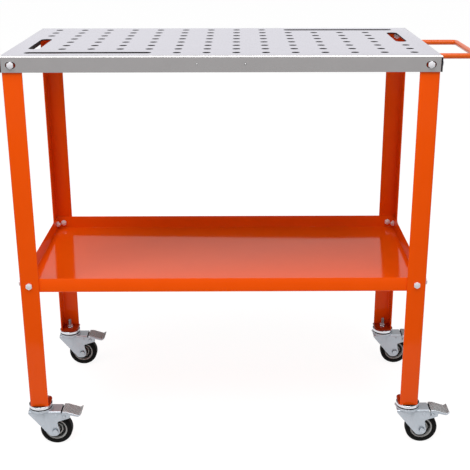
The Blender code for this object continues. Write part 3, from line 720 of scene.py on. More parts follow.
def add_slot_drill(length, width):
    """Round punch with its halves pulled apart along X."""
    drill = add_drill(width / 2)
    open_edit(drill)
    for side in (1, -1):
        pick("VERT", lambda vert: vert.co.x * side > 0.0)
        bpy.ops.transform.translate(value=(side * (length - width) / 2, 0.0, 0.0))
    close_edit()
    return drill


def grid_punches(surface):
    """Punches of the fixture holes and of the clamp slots."""
    xs = [(i - (HOLE_COLUMNS - 1) / 2) * HOLE_PITCH_X for i in range(HOLE_COLUMNS)]
    ys = [(i - (HOLE_ROWS - 1) / 2) * HOLE_PITCH_Y for i in range(HOLE_ROWS)]
    long_at = Vector((xs[0] + (LONG_SLOT_LENGTH - HOLE_DIAMETER) / 2, ys[0]))
    cross_at = Vector((xs[0], ys[1] + CROSS_SLOT_LENGTH / 2))
    slots = []
    for side in (1, -1):
        slots.append((side * long_at, LONG_SLOT_LENGTH, LONG_SLOT_WIDTH))
        slots.append((side * cross_at, CROSS_SLOT_WIDTH, CROSS_SLOT_LENGTH))

    punches = []
    drill = add_drill(HOLE_DIAMETER / 2)
    margin = HOLE_DIAMETER / 2 + HOLE_WEB
    for x in xs:
        for y in ys:
            if all(abs(x - spot.x) > along_x / 2 + margin or abs(y - spot.y) > along_y / 2 + margin
                   for spot, along_x, along_y in slots):
                punches.append(copy_piece(drill, "hole", surface @ shift(x, y, 0.0)))
    discard(drill)
    for spot, along_x, along_y in slots:
        punch = add_slot_drill(max(along_x, along_y), min(along_x, along_y))
        turn = 0.0 if along_x > along_y else math.pi / 2
        punch.data.transform(surface @ shift(spot.x, spot.y, 0.0) @ spin(turn, "Z"))
        punches.append(punch)
    return punches


def apron_punches(surface):
    """Punches of the oblong bolt holes, the corner slits and the front apron's two small holes."""
    half_length = (top_high.x - top_low.x) / 2
    half_depth = (top_high.y - top_low.y) / 2
    bolt_x = half_length - TOP_SHEET - SEAT_GAP - BOLT_INSET
    bolt_y = half_depth - TOP_SHEET - SEAT_GAP - BOLT_INSET
    punches = []
    slot = add_slot_drill(APRON_SLOT_LENGTH, APRON_SLOT_WIDTH)
    for sx, sy in CORNERS.values():
        side_face = shift(sx * bolt_x, sy * half_depth, -APRON_BOLT_DROP)
        end_face = shift(sx * half_length, sy * bolt_y, -APRON_BOLT_DROP)
        punches.append(copy_piece(slot, "slot", surface @ side_face @ face_turn((0, sy, 0))))
        punches.append(copy_piece(slot, "slot", surface @ end_face @ face_turn((sx, 0, 0))))
        slit_x = sx * (half_length - TOP_SHEET - CORNER_SLIT / 2) + TOP_CENTRE.x
        under = Vector((slit_x, sy * half_depth, TOP_HEIGHT)) - Vector((0.0, 0.0, TOP_BEND))
        reach = Vector((CORNER_SLIT / 2, 2 * TOP_SHEET, 0.0))
        depth = Vector((0.0, 0.0, TOP_HEIGHT - top_low.z))
        punches.append(add_box("slit", under - reach - depth, under + reach))
    discard(slot)
    for side in (1, -1):
        hole = add_drill(APRON_HOLE_DIAMETER / 2)
        front_face = shift(side * APRON_HOLE_SPREAD / 2, -half_depth, (top_low.z - TOP_HEIGHT) / 2)
        hole.data.transform(surface @ front_face @ face_turn((0, -1, 0)))
        punches.append(hole)
    return punches


def top_insets(spot):
    """How far a spot lies inside the ends and inside the long sides of the top."""
    inside_x = min(spot.x - top_low.x, top_high.x - spot.x)
    inside_y = min(spot.y - top_low.y, top_high.y - spot.y)
    return inside_x, inside_y


def is_inside(face):
    """True for a face on the inside of the folded top."""
    spot = face.calc_center_median()
    return min(*top_insets(spot), TOP_HEIGHT - spot.z) > TOP_SHEET - TOUCH


def is_cut_edge(face):
    """True for a face across the top's sheet: a wall of a hole or slit, or an apron's lower edge."""
    spot, normal = face.calc_center_median(), face.normal
    inside_x, inside_y = top_insets(spot)
    if spot.z > TOP_HEIGHT - TOP_SHEET - TOUCH:
        return abs(normal.z) < FACING and min(inside_x, inside_y) > 2 * TOP_BEND
    if spot.z > TOP_HEIGHT - TOP_BEND - TOUCH:
        return False
    if inside_x < TOP_SHEET + TOUCH:
        return abs(normal.x) < FACING
    return inside_y < TOP_SHEET + TOUCH and abs(normal.y) < FACING


def model_top():
    """Folded top with fixture holes, clamp slots, oblong bolt holes and open corners."""
    top = add_box("perforated_top", top_low, top_high)
    drop_faces(lambda face: face.normal.z < -FACING)
    pick("EDGE", lambda edge: lies_at(edge, TOP_HEIGHT))
    round_edges(TOP_BEND, TOP_BEND_STEPS)
    thicken(top, TOP_SHEET)
    surface = shift(TOP_CENTRE.x, TOP_CENTRE.y, TOP_HEIGHT)
    trim(top, join(*grid_punches(surface)))
    trim(top, join(*apron_punches(surface)))
    finish(top, SATIN)
    # Painted shade: the inside of the folded top is dark, as it lies in shade
    coat(top, TOP_INSIDE_SHADE, is_inside)
    # Nearly black cut edges: dark oxide of the cut, and painted shade on the walls of holes, slots and slits
    coat(top, CUT_EDGE_AND_SHADE, is_cut_edge)
    fit(top, "table_top")


def is_behind_slot(face):
    """True for a face of a leg that an oblong hole of the apron shows."""
    spot, normal = face.calc_center_median(), face.normal
    if min(normal.x, normal.y) > -FACING:
        return False
    if abs(spot.z - TOP_HEIGHT + APRON_BOLT_DROP) > APRON_SLOT_WIDTH / 2:
        return False
    return abs(max(spot.x, spot.y) - BOLT_INSET) < APRON_SLOT_LENGTH / 2


def model_legs():
    """Folded angle legs, each with a foot plate welded into its lower end."""
    low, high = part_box("leg_front_left")
    leg = add_box("angle_leg", (0.0, 0.0, low.z), (LEG_FLANGE, LEG_FLANGE, high.z))
    drop_faces(lambda face: max(face.normal.x, face.normal.y, abs(face.normal.z)) > FACING)
    pick("EDGE", lambda edge: stands_at(edge, 0.0, 0.0))
    round_edges(LEG_BEND, LEG_BEND_STEPS)
    thicken(leg, LEG_SHEET)
    break_edges(leg)
    open_edit(leg)
    for axis, middle, width in (
            (Vector((1, 0, 0)), BOLT_INSET, APRON_SLOT_LENGTH),
            (Vector((0, 1, 0)), BOLT_INSET, APRON_SLOT_LENGTH),
            (Vector((0, 0, 1)), TOP_HEIGHT - APRON_BOLT_DROP, APRON_SLOT_WIDTH)):
        for side in (1, -1):
            cut_line(axis * (middle + side * width / 2), axis)

    near, far = LEG_SHEET / 2, LEG_FLANGE + FOOT_OVERHANG
    bottom = low.z + FOOT_RECESS
    foot = add_box("foot_plate", (near, near, bottom), (far, far, bottom + FOOT_SHEET))
    pick("EDGE", lambda edge: stands_at(edge, far, far))
    round_edges(FOOT_ROUND, FOOT_ROUND_STEPS)
    break_edges(foot)
    paint(ORANGE, leg)
    # Painted shade: darker orange on the leg behind the apron's oblong holes and on the foot plate
    coat(leg, SHADE_ORANGE, is_behind_slot)
    paint(SHADE_ORANGE, foot)
    finish(join(leg, foot), ORANGE)
    for index, (corner, (sx, sy)) in enumerate(CORNERS.items()):
        low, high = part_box(f"leg_{corner}")
        spot = shift(low.x if sx < 0 else high.x, low.y if sy < 0 else high.y, 0.0)
        turn = spin(index * math.pi / 2, "Z")
        fit(copy_piece(leg, f"angle_leg_{corner}", spot @ turn), f"leg_{corner}")
    discard(leg)


def model_shelf():
    """Folded tray shelf with its rims turned up."""
    low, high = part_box("storage_shelf")
    shelf = add_box("tray_shelf", low, high)
    drop_faces(lambda face: face.normal.z > FACING)
    pick("EDGE", upright)
    round_edges(SHELF_CORNER, SHELF_CORNER_STEPS)
    pick("EDGE", lambda edge: lies_at(edge, low.z))
    round_edges(SHELF_BEND, SHELF_BEND_STEPS)
    thicken(shelf, SHELF_SHEET)
    break_edges(shelf)
    fit(finish(shelf, ORANGE), "storage_shelf")


def model_handle():
    """Push handle bent from one round rod."""
    low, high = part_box("push_handle")
    radius = HANDLE_ROD / 2
    half = high.y - radius
    reach = high.x - radius - HANDLE_BEND
    height = (low.z + high.z) / 2
    close_edit()
    bpy.ops.mesh.primitive_circle_add(
        vertices=HANDLE_SIDES, radius=radius,
        location=(low.x, -half, height), rotation=(0.0, math.pi / 2, 0.0))
    handle = begin("bent_push_handle")
    select_all()
    arm = reach - low.x
    bar = 2 * (half - HANDLE_BEND)
    extrude(arm, 0.0, 0.0)
    for side, straight in ((-1, (0.0, bar, 0.0)), (1, (-arm, 0.0, 0.0))):
        centre = (reach, side * (half - HANDLE_BEND), height)
        bpy.ops.mesh.spin(steps=HANDLE_BEND_STEPS, angle=-math.pi / 2, center=centre, axis=(0.0, 0.0, 1.0))
        extrude(*straight)
    bpy.ops.mesh.select_mode(type="EDGE")
    bpy.ops.mesh.select_all(action="DESELECT")
    bpy.ops.mesh.select_non_manifold()
    bpy.ops.mesh.edge_face_add()
    tidy(handle)
    # Painted shade: the rod's coat is a darker copy of the legs' orange
    fit(finish(handle, SOFT_ORANGE), "push_handle")


def add_hexagon(name, flats, low, high):
    """Hexagon about Z with corners turned off at both ends, as on a forged head or a nut."""
    corner = flats / math.sqrt(3)
    face = HEX_FACE * flats
    drop = (corner - face) * math.tan(HEX_CHAMFER)
    block = add_cylinder(name, corner, low, high, 6)
    turning = add_turned("turning", [
        (0.0, low), (face, low), (corner, low + drop), (corner, high - drop), (face, high), (0.0, high)])
    trim(block, turning, "INTERSECT")
    tidy(block)
    return block


def add_thread(radius, low, high):
    """Threaded end about Z, drawn as rings a pitch apart, with a turned tip."""
    profile = [(0.0, low), (radius, low)]
    height = low
    while height + THREAD_PITCH < high - THREAD_DEPTH:
        profile.append((radius - THREAD_DEPTH, height + THREAD_PITCH / 2))
        height += THREAD_PITCH
        profile.append((radius, height))
    profile += [(radius - THREAD_DEPTH, high), (0.0, high)]
    return add_turned("thread", profile, SMALL_TURN_STEPS)


def model_bolt(name, grip):
    """Hexagon bolt and nut about the outer face of what they clamp, head at +Z."""
    nut_top = -grip - SEAT_GAP
    head = add_hexagon(name, BOLT_FLATS, SEAT_GAP, SEAT_GAP + BOLT_HEAD)
    nut = add_hexagon("nut", BOLT_FLATS, nut_top - BOLT_NUT, nut_top)
    tail = add_thread(BOLT_DIAMETER / 2, 0.0, grip + SEAT_GAP + BOLT_NUT + BOLT_TAIL)
    tail.data.transform(spin(math.pi, "X"))
    return finish(join(head, nut, tail), WHITE_ZINC)


def model_frame_bolts():
    """Frame bolts at the corners of top and shelf, each with a corner of its hexagon up."""
    bolts = {"apron": model_bolt("apron_bolt", APRON_GRIP), "shelf": model_bolt("shelf_bolt", SHELF_GRIP)}
    corner_up = spin(math.pi / 6, "Z")
    for corner, (sx, sy) in CORNERS.items():
        for level, bolt in bolts.items():
            for face, outward in (("end", (sx, 0, 0)), ("side", (0, sy, 0))):
                node = f"{level}_bolt_{face}_{corner}"
                low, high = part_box(node)
                ends = {1: high, 0: (low + high) / 2, -1: low}
                tip = Vector([ends[way][axis] for axis, way in enumerate(outward)])
                spot = Matrix.Translation(tip - Vector(outward) * (SEAT_GAP + BOLT_HEAD))
                fit(copy_piece(bolt, f"hex_{node}", spot @ face_turn(outward) @ corner_up), node)
    for bolt in bolts.values():
        discard(bolt)


def model_handle_screws():
    """Screws from inside the end apron into the ends of the handle."""
    for side in ("front", "rear"):
        node = f"handle_screw_{side}"
        low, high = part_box(node)
        middle = (low + high) / 2
        head = add_hexagon(f"hex_{node}", SCREW_FLATS, 0.0, SCREW_HEAD)
        shank = add_thread(SCREW_DIAMETER / 2, SCREW_HEAD, high.x - low.x)
        join(head, shank)
        head.data.transform(shift(low.x, middle.y, middle.z) @ face_turn((1, 0, 0)))
        fit(finish(head, BRIGHT_ZINC), node)


# Caster pieces, about the stem axis

def model_stem():
    """Threaded stem with washer, lock nut, swivel head and riveted kingpin."""
    low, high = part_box("caster_stem_front_left")
    radius, head, kingpin = STEM_DIAMETER / 2, HEAD_DIAMETER / 2, KINGPIN_DIAMETER / 2
    rivet_top = low.z + KINGPIN_HEAD
    cap = add_turned("caster_stem", rounded([
        (0.0, HEAD_TOP, 0.0),
        (head, HEAD_TOP, HEAD_ROUND),
        (head, HEAD_BOTTOM, HEAD_ROUND / 4),
        (radius, HEAD_BOTTOM, 0.0),
        (radius, rivet_top, 0.0),
        (kingpin, rivet_top, 0.0),
        (kingpin, low.z, KINGPIN_HEAD / 2),
        (0.0, low.z, 0.0)], closed=False))
    plate_top = CASTER_TOP + FOOT_RECESS + FOOT_SHEET + SEAT_GAP
    nut_low = plate_top + STEM_WASHER
    rim = STEM_WASHER_DIAMETER / 2
    washer = add_turned("washer", [(0.0, plate_top), (rim, plate_top), (rim, nut_low), (0.0, nut_low)])
    break_edges(washer, EDGE_BREAK / 2)
    nut = add_hexagon("nut", STEM_NUT_FLATS, nut_low, nut_low + STEM_NUT)
    tail = add_thread(radius, HEAD_TOP, high.z)
    paint(BRIGHT_ZINC, cap, washer, nut)
    # Painted shade: the underside of the swivel head is a darker zinc
    coat(cap, ZINC_INSIDE_SHADE, lambda face: face.normal.z < -FACING)
    # Painted shade: the top of the swivel head is dark, for the shaded gap under the foot plate
    coat(cap, GREASE_AND_SHADE, lambda face: face.normal.z > FACING)
    # Painted shade: the thread past the nut is a darker zinc
    paint(FLANK_SHADE_ZINC, tail)
    return finish(join(cap, washer, nut, tail), BRIGHT_ZINC)


def model_race():
    """Ball race between swivel head and fork: an inner ring with its balls round it."""
    ball_ring = HEAD_DIAMETER / 2 - RACE_RECESS - BALL_DIAMETER / 2
    race = add_ring("ball_race", RACE_BORE / 2, ball_ring, RACE_BOTTOM, RACE_TOP)
    close_edit()
    bpy.ops.mesh.primitive_uv_sphere_add(
        segments=BALL_SEGMENTS, ring_count=BALL_RINGS, radius=BALL_DIAMETER / 2,
        location=(ball_ring, 0.0, (RACE_TOP + RACE_BOTTOM) / 2))
    ball = begin("ball")
    close_edit()
    return finish(join(race, *spread(ball, BALL_COUNT)), GREASE_AND_SHADE)


def drill_through(piece, diameter, matrix):
    """Drill a piece for a pin of a diameter, with a long drill about a turned Z axis."""
    drill = add_cylinder("drill", diameter / 2 + SEAT_GAP, -FORK_WIDTH, FORK_WIDTH, HOLE_SIDES)
    close_edit()
    drill.data.transform(matrix)
    trim(piece, drill)


def looks_inward(face):
    """True for a face inside a channel pressing, that looks down or towards its middle plane."""
    towards_middle = -face.normal.y * face.calc_center_median().y
    return face.normal.z < -LEANING or towards_middle > PEDAL_SHEET / 2


def add_dish():
    """Dished bearing seat on the web of the fork."""
    low = WEB_TOP - FORK_SHEET / 2
    rim = HEAD_DIAMETER / 2
    bore = STEM_DIAMETER / 2 + SEAT_GAP
    return add_turned("dish", rounded([
        (bore, DISH_TOP, 0.0), (rim, DISH_TOP, DISH_ROUND), (rim, low, DISH_ROUND),
        (bore, low, 0.0), (bore, DISH_TOP, 0.0)], closed=False))


def add_rivet(side):
    """Round rivet head on one cheek of the fork."""
    radius = RIVET_DIAMETER / 2
    rivet = add_turned("rivet", rounded([
        (0.0, -RIVET_RISE, 0.0), (radius, -RIVET_RISE, 0.0),
        (radius, RIVET_RISE, RIVET_RISE), (0.0, RIVET_RISE, 0.0)], closed=False), SMALL_TURN_STEPS)
    turn = spin(-side * math.pi / 2, "X")
    rivet.data.transform(shift(RIVET_X, side * FORK_WIDTH / 2, RIVET_Z) @ turn)
    return rivet


def model_fork():
    """Fork pressed from one sheet: a folded channel trimmed to its side outline, dish and rivets."""
    half = FORK_WIDTH / 2
    fork = add_box("caster_fork", (-FORK_BACK - half, -half, 0.0), (FORK_ARM_END + half, half, WEB_TOP))
    drop_faces(lambda face: face.normal.z < -FACING or abs(face.normal.x) > FACING)
    pick("EDGE", lambda edge: lies_at(edge, WEB_TOP) and at(edge.verts[0].co.y, edge.verts[1].co.y))
    round_edges(FORK_BEND, FORK_BEND_STEPS)
    rib_head = WEB_TOP - 2 * FORK_BEND
    rib_top = rib_head - RIB_FLANK
    for x in (RIB_START, RIB_START + RIB_FLANK, RIB_END - RIB_FLANK, RIB_END):
        cut_line((x, 0, 0), (1, 0, 0))
    for z in (rib_head, rib_top):
        cut_line((0, 0, z), (0, 0, 1))
    for side in (1, -1):
        pick("VERT", lambda vert: at(vert.co.y, side * half) and vert.co.z < rib_top + TOUCH
             and RIB_START + RIB_FLANK - TOUCH < vert.co.x < RIB_END - RIB_FLANK + TOUCH)
        bpy.ops.transform.translate(value=(0.0, side * RIB_HEIGHT, 0.0))
    thicken(fork, FORK_SHEET)

    arm_top = WEB_TOP - FORK_ARM_DROP
    outline = rounded([
        (-FORK_BACK, WEB_TOP + FORK_SHEET, 0.0),
        (-FORK_BACK, WEB_TOP - FORK_BACK_EDGE, FORK_BACK_EDGE / 2),
        (AXLE_X - FORK_TIP, AXLE_Z - FORK_TIP, FORK_TIP),
        (AXLE_X + FORK_TIP, AXLE_Z - FORK_TIP, FORK_TIP),
        (AXLE_X + FORK_NOTCH_AHEAD, AXLE_Z + FORK_NOTCH_RISE, FORK_NOTCH_ROUND),
        (FORK_ARM_END, WEB_TOP - FORK_ARM_DEPTH, FORK_ARM_ROUND / 2),
        (FORK_ARM_END, arm_top, FORK_ARM_ROUND),
        (FORK_WEB_REACH, arm_top, 0.0),
        (FORK_WEB_REACH, WEB_TOP + FORK_SHEET, 0.0)])
    trim(fork, add_side_form(outline, 2 * FORK_WIDTH), "INTERSECT")
    drill_through(fork, STEM_DIAMETER, shift(0.0, 0.0, WEB_TOP))
    drill_through(fork, AXLE_DIAMETER, across(AXLE_X, AXLE_Z))
    drill_through(fork, PIN_DIAMETER, across(PIN_X, PIN_Z))
    break_edges(fork)
    tidy(fork)

    dish = add_dish()
    rivets = [add_rivet(side) for side in (1, -1)]
    paint(BLUE_ZINC, fork, dish, *rivets)
    # Painted shade: the top of the fork's web is a darker zinc than the rest of the pressing
    coat(fork, FORK_WEB_SHADE_ZINC, lambda face: face.normal.z > FACING and at(face.calc_center_median().z, WEB_TOP))
    # Painted shade: the inside of the fork is a darker zinc
    coat(fork, ZINC_INSIDE_SHADE, looks_inward)
    # Painted shade: the cut end of the web is black, for the shaded gap before the pedal
    coat(fork, CUT_EDGE_AND_SHADE, lambda face: face.normal.x > LEANING and face.calc_center_median().z > arm_top)
    coat(dish, GREASE_AND_SHADE, lambda face: face.normal.z > FACING)
    return finish(join(fork, dish, *rivets), BLUE_ZINC)


def model_headed_pin(name, diameter, head_diameter, head, seat):
    """Pin about Z with a sloped, flat head at each end."""
    end = seat + head
    radius, head_radius = diameter / 2, head_diameter / 2
    upper = [
        (0.0, end, 0.0), (head_radius - HEAD_SLOPE, end, HEAD_SLOPE / 2),
        (head_radius, seat, 0.0), (radius, seat, 0.0)]
    lower = [(x, -z, turn) for x, z, turn in reversed(upper)]
    pin = add_turned(name, rounded(upper + lower, closed=False), PIN_STEPS)
    paint(BLUE_ZINC, pin)
    # Painted shade: the flanks of the heads are a darker zinc than their flat ends
    coat(pin, FLANK_SHADE_ZINC, lambda face: abs(face.normal.z) < LEANING)
    return finish(pin, BLUE_ZINC)


def model_hub():
    """Moulded wheel centre: rim, web with spokes that stiffen it, and boss."""
    rim = WHEEL_DIAMETER / 2 - TYRE_DEPTH - SEAT_GAP
    inside = rim - RIM_WALL
    root = inside + RIM_WALL / 2
    hub = add_ring("wheel_hub", inside, rim, -RIM_WIDTH / 2, RIM_WIDTH / 2)
    break_edges(hub)
    boss_radius, bore, end = HUB_DIAMETER / 2, AXLE_DIAMETER / 2 + SEAT_GAP, HUB_WIDTH / 2
    boss = add_turned("boss", [
        (bore, end), (boss_radius - HUB_DRAFT, end), (boss_radius, 0.0),
        (boss_radius - HUB_DRAFT, -end), (bore, -end), (bore, end)])
    break_edges(boss)
    spoke_low = (bore + SPOKE_ROOT, -SPOKE_WIDTH / 2, -SPOKE_DEPTH / 2)
    spoke = add_box("spoke", spoke_low, (root, SPOKE_WIDTH / 2, SPOKE_DEPTH / 2))
    break_edges(spoke, 2 * EDGE_BREAK)
    spokes = spread(spoke, SPOKE_COUNT)
    web = add_ring("web", boss_radius / 2, root, -WHEEL_WEB / 2, WHEEL_WEB / 2)
    ring_low, ring_high = WEB_RING - WEB_RING_WIDTH / 2, WEB_RING + WEB_RING_WIDTH / 2
    ring = add_ring("ring", ring_low, ring_high, -WEB_RING_DEPTH / 2, WEB_RING_DEPTH / 2)
    break_edges(ring)
    paint(GREY_WHEEL, hub, boss, ring)
    # Painted shade: the web and spokes are dark, as the centre of the wheel lies in shade
    paint(WHEEL_WEB_SHADE, web, *spokes)
    return finish(join(hub, boss, ring, web, *spokes), GREY_WHEEL)


def model_tyre():
    """Solid rubber tyre with round shoulders."""
    outer = WHEEL_DIAMETER / 2
    inner = outer - TYRE_DEPTH
    half = TYRE_WIDTH / 2
    section = rounded([
        (inner, half, TYRE_BEAD), (outer, half, TYRE_ROUND),
        (outer, -half, TYRE_ROUND), (inner, -half, TYRE_BEAD)])
    return finish(add_turned("wheel_tyre", section + section[:1], TYRE_STEPS), RUBBER)


def walk(points, pitch):
    """Spots about a pitch apart along a line, each with the line's direction."""
    total = sum((there - here).length for here, there in zip(points, points[1:]))
    step = total / round(total / pitch)
    spots = []
    ahead = step / 2
    for here, there in zip(points, points[1:]):
        length = (there - here).length
        while ahead < length:
            spots.append((here.lerp(there, ahead / length), (there - here) / length))
            ahead += step
        ahead -= length
    return spots


def add_knurl(tread):
    """Crossed rows of low four-sided studs that stand on a tread."""
    stud = add_cylinder("stud", STUD_RADIUS, -STUD_RISE, STUD_RISE, 4)
    pick("FACE", lambda face: face.normal.z > FACING)
    bpy.ops.transform.resize(value=(STUD_TAPER, STUD_TAPER, 1.0))
    close_edit()
    # Painted light: the studs are paler than the grooves
    paint(STUD_LIGHT_ZINC, stud)
    columns = int((PEDAL_HALF - PEDAL_FOLD) / STUD_PITCH)
    studs = []
    for row, (spot, along) in enumerate(walk(tread, STUD_PITCH)):
        slope = spin(-math.atan2(along.y, along.x), "Y") @ spin(math.pi / 4, "Z")
        for column in range(-columns, columns + 1):
            if (row + column) % 2 == 0:
                studs.append(copy_piece(stud, "stud", shift(spot.x, column * STUD_PITCH, spot.y) @ slope))
    discard(stud)
    return studs


def add_tongue():
    """Brake tongue that hangs from the pedal over the tyre."""
    reach = WHEEL_DIAMETER / 2 + TONGUE_GAP
    low = AXLE_Z + math.sqrt(reach ** 2 - (TONGUE_X - AXLE_X) ** 2)
    tongue = add_box("tongue", (TONGUE_X, -TONGUE_WIDTH / 2, low),
                     (TONGUE_X + TONGUE_SHEET, TONGUE_WIDTH / 2, WEB_TOP - PEDAL_SHEET / 2))
    break_edges(tongue)
    paint(RUBBER, tongue)
    return tongue


def model_pedal():
    """Brake pedal pressed from sheet: knurled tread, flanges round the fork's arms, brake tongue."""
    tread = rounded([
        (PEDAL_START, WEB_TOP, 0.0), (PEDAL_FLAT_END, WEB_TOP, PEDAL_HEEL_ROUND),
        (PEDAL_LOW_X, PEDAL_LOW_Z, PEDAL_TOE_ROUND), (PEDAL_TIP_X, PEDAL_TIP_Z, 0.0)], closed=False)
    pedal = add_line("brake_pedal", [(x, -PEDAL_HALF, z) for x, z in tread])
    extrude(0.0, 2 * PEDAL_HALF, 0.0)
    for side in (1, -1):
        pick("EDGE", lambda edge: all(at(vert.co.y, side * PEDAL_HALF) and vert.co.z > PEDAL_LOW_Z - TOUCH
                                      for vert in edge.verts))
        extrude(0.0, 0.0, SKIRT_Z - WEB_TOP - PEDAL_RIM)
    select_all()
    bpy.ops.mesh.normals_make_consistent(inside=False)
    pick("FACE", lambda face: abs(face.normal.y) < LEANING and face.normal.z < 0.0)
    if bpy.context.edit_object.data.total_face_sel:
        select_all()
        bpy.ops.mesh.flip_normals()
    pick("EDGE", lambda edge: len(edge.link_faces) == 2
         and edge.link_faces[0].normal.angle(edge.link_faces[1].normal) > PEDAL_FOLD_ANGLE)
    round_edges(PEDAL_FOLD, PEDAL_FOLD_STEPS)
    thicken(pedal, PEDAL_SHEET)
    high = WEB_TOP + PEDAL_RIM
    outline = rounded([
        (PEDAL_START, high, 0.0),
        (PEDAL_START, SKIRT_Z, SKIRT_START_ROUND),
        (SKIRT_END_X, SKIRT_Z, SKIRT_END_ROUND),
        (FLANGE_START_X, FLANGE_START_Z, FLANGE_START_ROUND),
        (FLANGE_END_X, FLANGE_END_Z, FLANGE_END_ROUND),
        (LIP_START_X, LIP_START_Z, LIP_START_ROUND),
        (LIP_END_X, LIP_END_Z, 0.0),
        (LIP_END_X, high, 0.0)])
    trim(pedal, add_side_form(outline, 4 * PEDAL_HALF), "INTERSECT")
    drill_through(pedal, PIN_DIAMETER, across(PIN_X, PIN_Z))
    break_edges(pedal, EDGE_BREAK / 2)

    tongue = add_tongue()
    paint(BLUE_ZINC, pedal)
    # Painted shade: the inside and underside of the pedal are a darker zinc
    coat(pedal, ZINC_INSIDE_SHADE, looks_inward)
    # Painted shade: the cut end of the pedal is black, for the shaded gap behind it
    coat(pedal, CUT_EDGE_AND_SHADE, lambda face: face.normal.x < -LEANING)
    edge = PEDAL_HALF - PEDAL_FOLD
    # Painted shade: the tread between the studs is a dark grey
    coat(pedal, GROOVE_SHADE_ZINC, lambda face: face.normal.z > LEANING and abs(face.calc_center_median().y) < edge)
    return finish(join(pedal, tongue, *add_knurl(tread)), BLUE_ZINC)


def model_casters():
    """Four casters, each copied to its stem."""
    axle = model_headed_pin(
        "wheel_axle", AXLE_DIAMETER, AXLE_HEAD_DIAMETER, AXLE_HEAD, FORK_WIDTH / 2 + SEAT_GAP)
    pin = model_headed_pin("brake_pin", PIN_DIAMETER, PIN_HEAD_DIAMETER, PIN_HEAD, PEDAL_HALF + SEAT_GAP)
    hub, tyre = model_hub(), model_tyre()
    for piece in (hub, tyre, axle):
        piece.data.transform(across(AXLE_X, AXLE_Z))
    pin.data.transform(across(PIN_X, PIN_Z))
    kinds = (
        ("caster_stem", model_stem(), "zinc"),
        ("caster_bearing", model_race(), "zinc"),
        ("caster_fork", model_fork(), "zinc_pressing"),
        ("wheel_axle", axle, "zinc"),
        ("wheel_hub", hub, "wheel_grey"),
        ("wheel_tyre", tyre, "tyre_rubber"),
        ("brake_pin", pin, "zinc"),
        ("brake_pedal", model_pedal(), "zinc_pressing"))
    for kind, piece, slot in kinds:
        for corner in CORNERS:
            low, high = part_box(f"caster_stem_{corner}")
            spot = shift((low.x + high.x) / 2, (low.y + high.y) / 2, 0.0)
            node = f"{kind}_{corner}"
            fit(copy_piece(piece, f"{kind}_look_{corner}", spot), node)
        discard(piece)


# Studio

def white_rays(owner):
    """One for rays of the camera, of reflections and through glass."""
    path = add_node(owner, "LightPath", {})
    seen = add_node(owner, "Math", {
        0: (path, "Is Camera Ray"), 1: (path, "Is Glossy Ray")}, operation="ADD", use_clamp=True)
    return add_node(owner, "Math", {
        0: (seen, "Value"), 1: (path, "Is Transmission Ray")}, operation="ADD", use_clamp=True), "Value"


def set_world(fill):
    """White room that the camera and reflections see, with a plain fill of light."""
    world = bpy.data.worlds.new("white_studio")
    bpy.context.scene.world = world
    world.use_nodes = True
    nodes = world.node_tree.nodes
    light = add_node(world, nodes["Background"], {"Color": linear("FFFFFF"), "Strength": fill})
    white = add_node(world, "Background", {"Color": linear("FFFFFF"), "Strength": 1.0})
    mix = add_node(world, "MixShader", {
        "Fac": white_rays(world), 1: (light, "Background"), 2: (white, "Background")})
    add_node(world, nodes["World Output"], {"Surface": (mix, "Shader")})


def add_floor(size, glow, shade):
    """Pale floor that shows white and keeps a soft shadow of the table."""
    close_edit()
    bpy.ops.mesh.primitive_plane_add(size=size)
    floor = bpy.context.object
    floor.name = "studio_floor"
    material, nodes = new_material("matt_white_floor")
    shader = add_node(material, nodes["Principled BSDF"], {
        "Base Color": linear("E6E6E6"), "Roughness": 1.0, "Specular IOR Level": 0.0})
    matt = add_node(material, "BsdfDiffuse", {"Color": linear(shade)})
    light = add_node(material, "Emission", {"Color": linear("FFFFFF"), "Strength": glow})
    both = add_node(material, "AddShader", {0: (matt, "BSDF"), 1: (light, "Emission")})
    mix = add_node(material, "MixShader", {
        "Fac": white_rays(material), 1: (shader, "BSDF"), 2: (both, "Shader")})
    add_node(material, nodes["Material Output"], {"Surface": (mix, "Shader")})
    paint(material, floor)


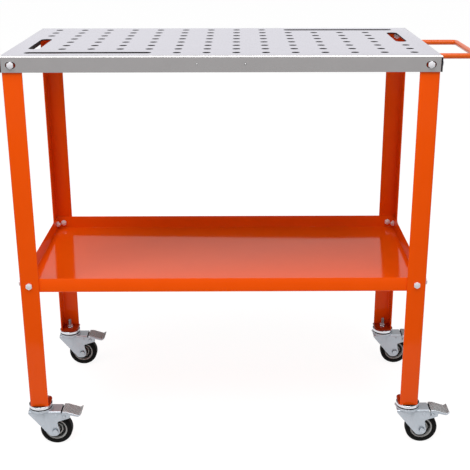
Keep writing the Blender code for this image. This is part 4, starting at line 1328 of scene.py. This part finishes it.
def add_softbox(name, place, target, size, power):
    """Large soft lamp aimed at a point."""
    lamp = bpy.data.lights.new(name, "AREA")
    lamp.shape = "RECTANGLE"
    lamp.size, lamp.size_y = size
    lamp.energy = power
    box = bpy.data.objects.new(name, lamp)
    box.location = place
    box.rotation_euler = (Vector(target) - Vector(place)).to_track_quat("-Z", "Y").to_euler()
    bpy.context.scene.collection.objects.link(box)


def add_flag(name, place, tilt, size, shade):
    """Grey flag out of the picture that only reflections see, as the dark side of a studio."""
    close_edit()
    bpy.ops.mesh.primitive_plane_add(size=1.0, location=place, rotation=(tilt, 0.0, 0.0))
    flag = bpy.context.object
    flag.name = name
    flag.scale = (*size, 1.0)
    for ray in ("camera", "diffuse", "transmission", "shadow"):
        setattr(flag, f"visible_{ray}", False)
    material, nodes = new_material(f"{name}_cloth")
    light = add_node(material, "Emission", {"Color": linear(shade), "Strength": 1.0})
    add_node(material, nodes["Material Output"], {"Surface": (light, "Emission")})
    paint(material, flag)


def add_camera():
    """Camera at the photograph's place."""
    camera = bpy.data.cameras.new("camera")
    camera.lens = CAMERA_LENS
    camera.shift_x = CAMERA_SHIFT
    camera.sensor_width = CAMERA_SENSOR
    eye = bpy.data.objects.new("camera", camera)
    spot = Matrix.Translation(Vector((TOP_CENTRE.x, 0.0, TOP_HEIGHT)) + CAMERA_FROM_TOP)
    heading = spin(-CAMERA_YAW, "Z") @ spin(math.pi / 2 + CAMERA_PITCH, "X")
    eye.matrix_world = spot @ heading @ spin(CAMERA_ROLL, "Z")
    bpy.context.scene.collection.objects.link(eye)
    bpy.context.scene.camera = eye


model_top()
model_legs()
model_shelf()
model_handle()
model_frame_bolts()
model_handle_screws()
model_casters()
set_world(fill=0.40)
add_floor(size=40.0, glow=0.90, shade="828282")
add_flag("wall_flag", place=(0.0, -2.7, 1.4), tilt=math.pi / 2, size=(6.0, 2.8), shade="B2B2B2")
add_flag("floor_flag", place=(0.0, -1.6, 0.002), tilt=0.0, size=(6.0, 2.2), shade="606060")
add_softbox("key_softbox", place=(-0.35, -1.5, 3.4), target=(0.0, 0.0, 0.6), size=(3.2, 2.2), power=104.0)
add_camera()
bpy.context.scene.view_settings.view_transform = "Standard"
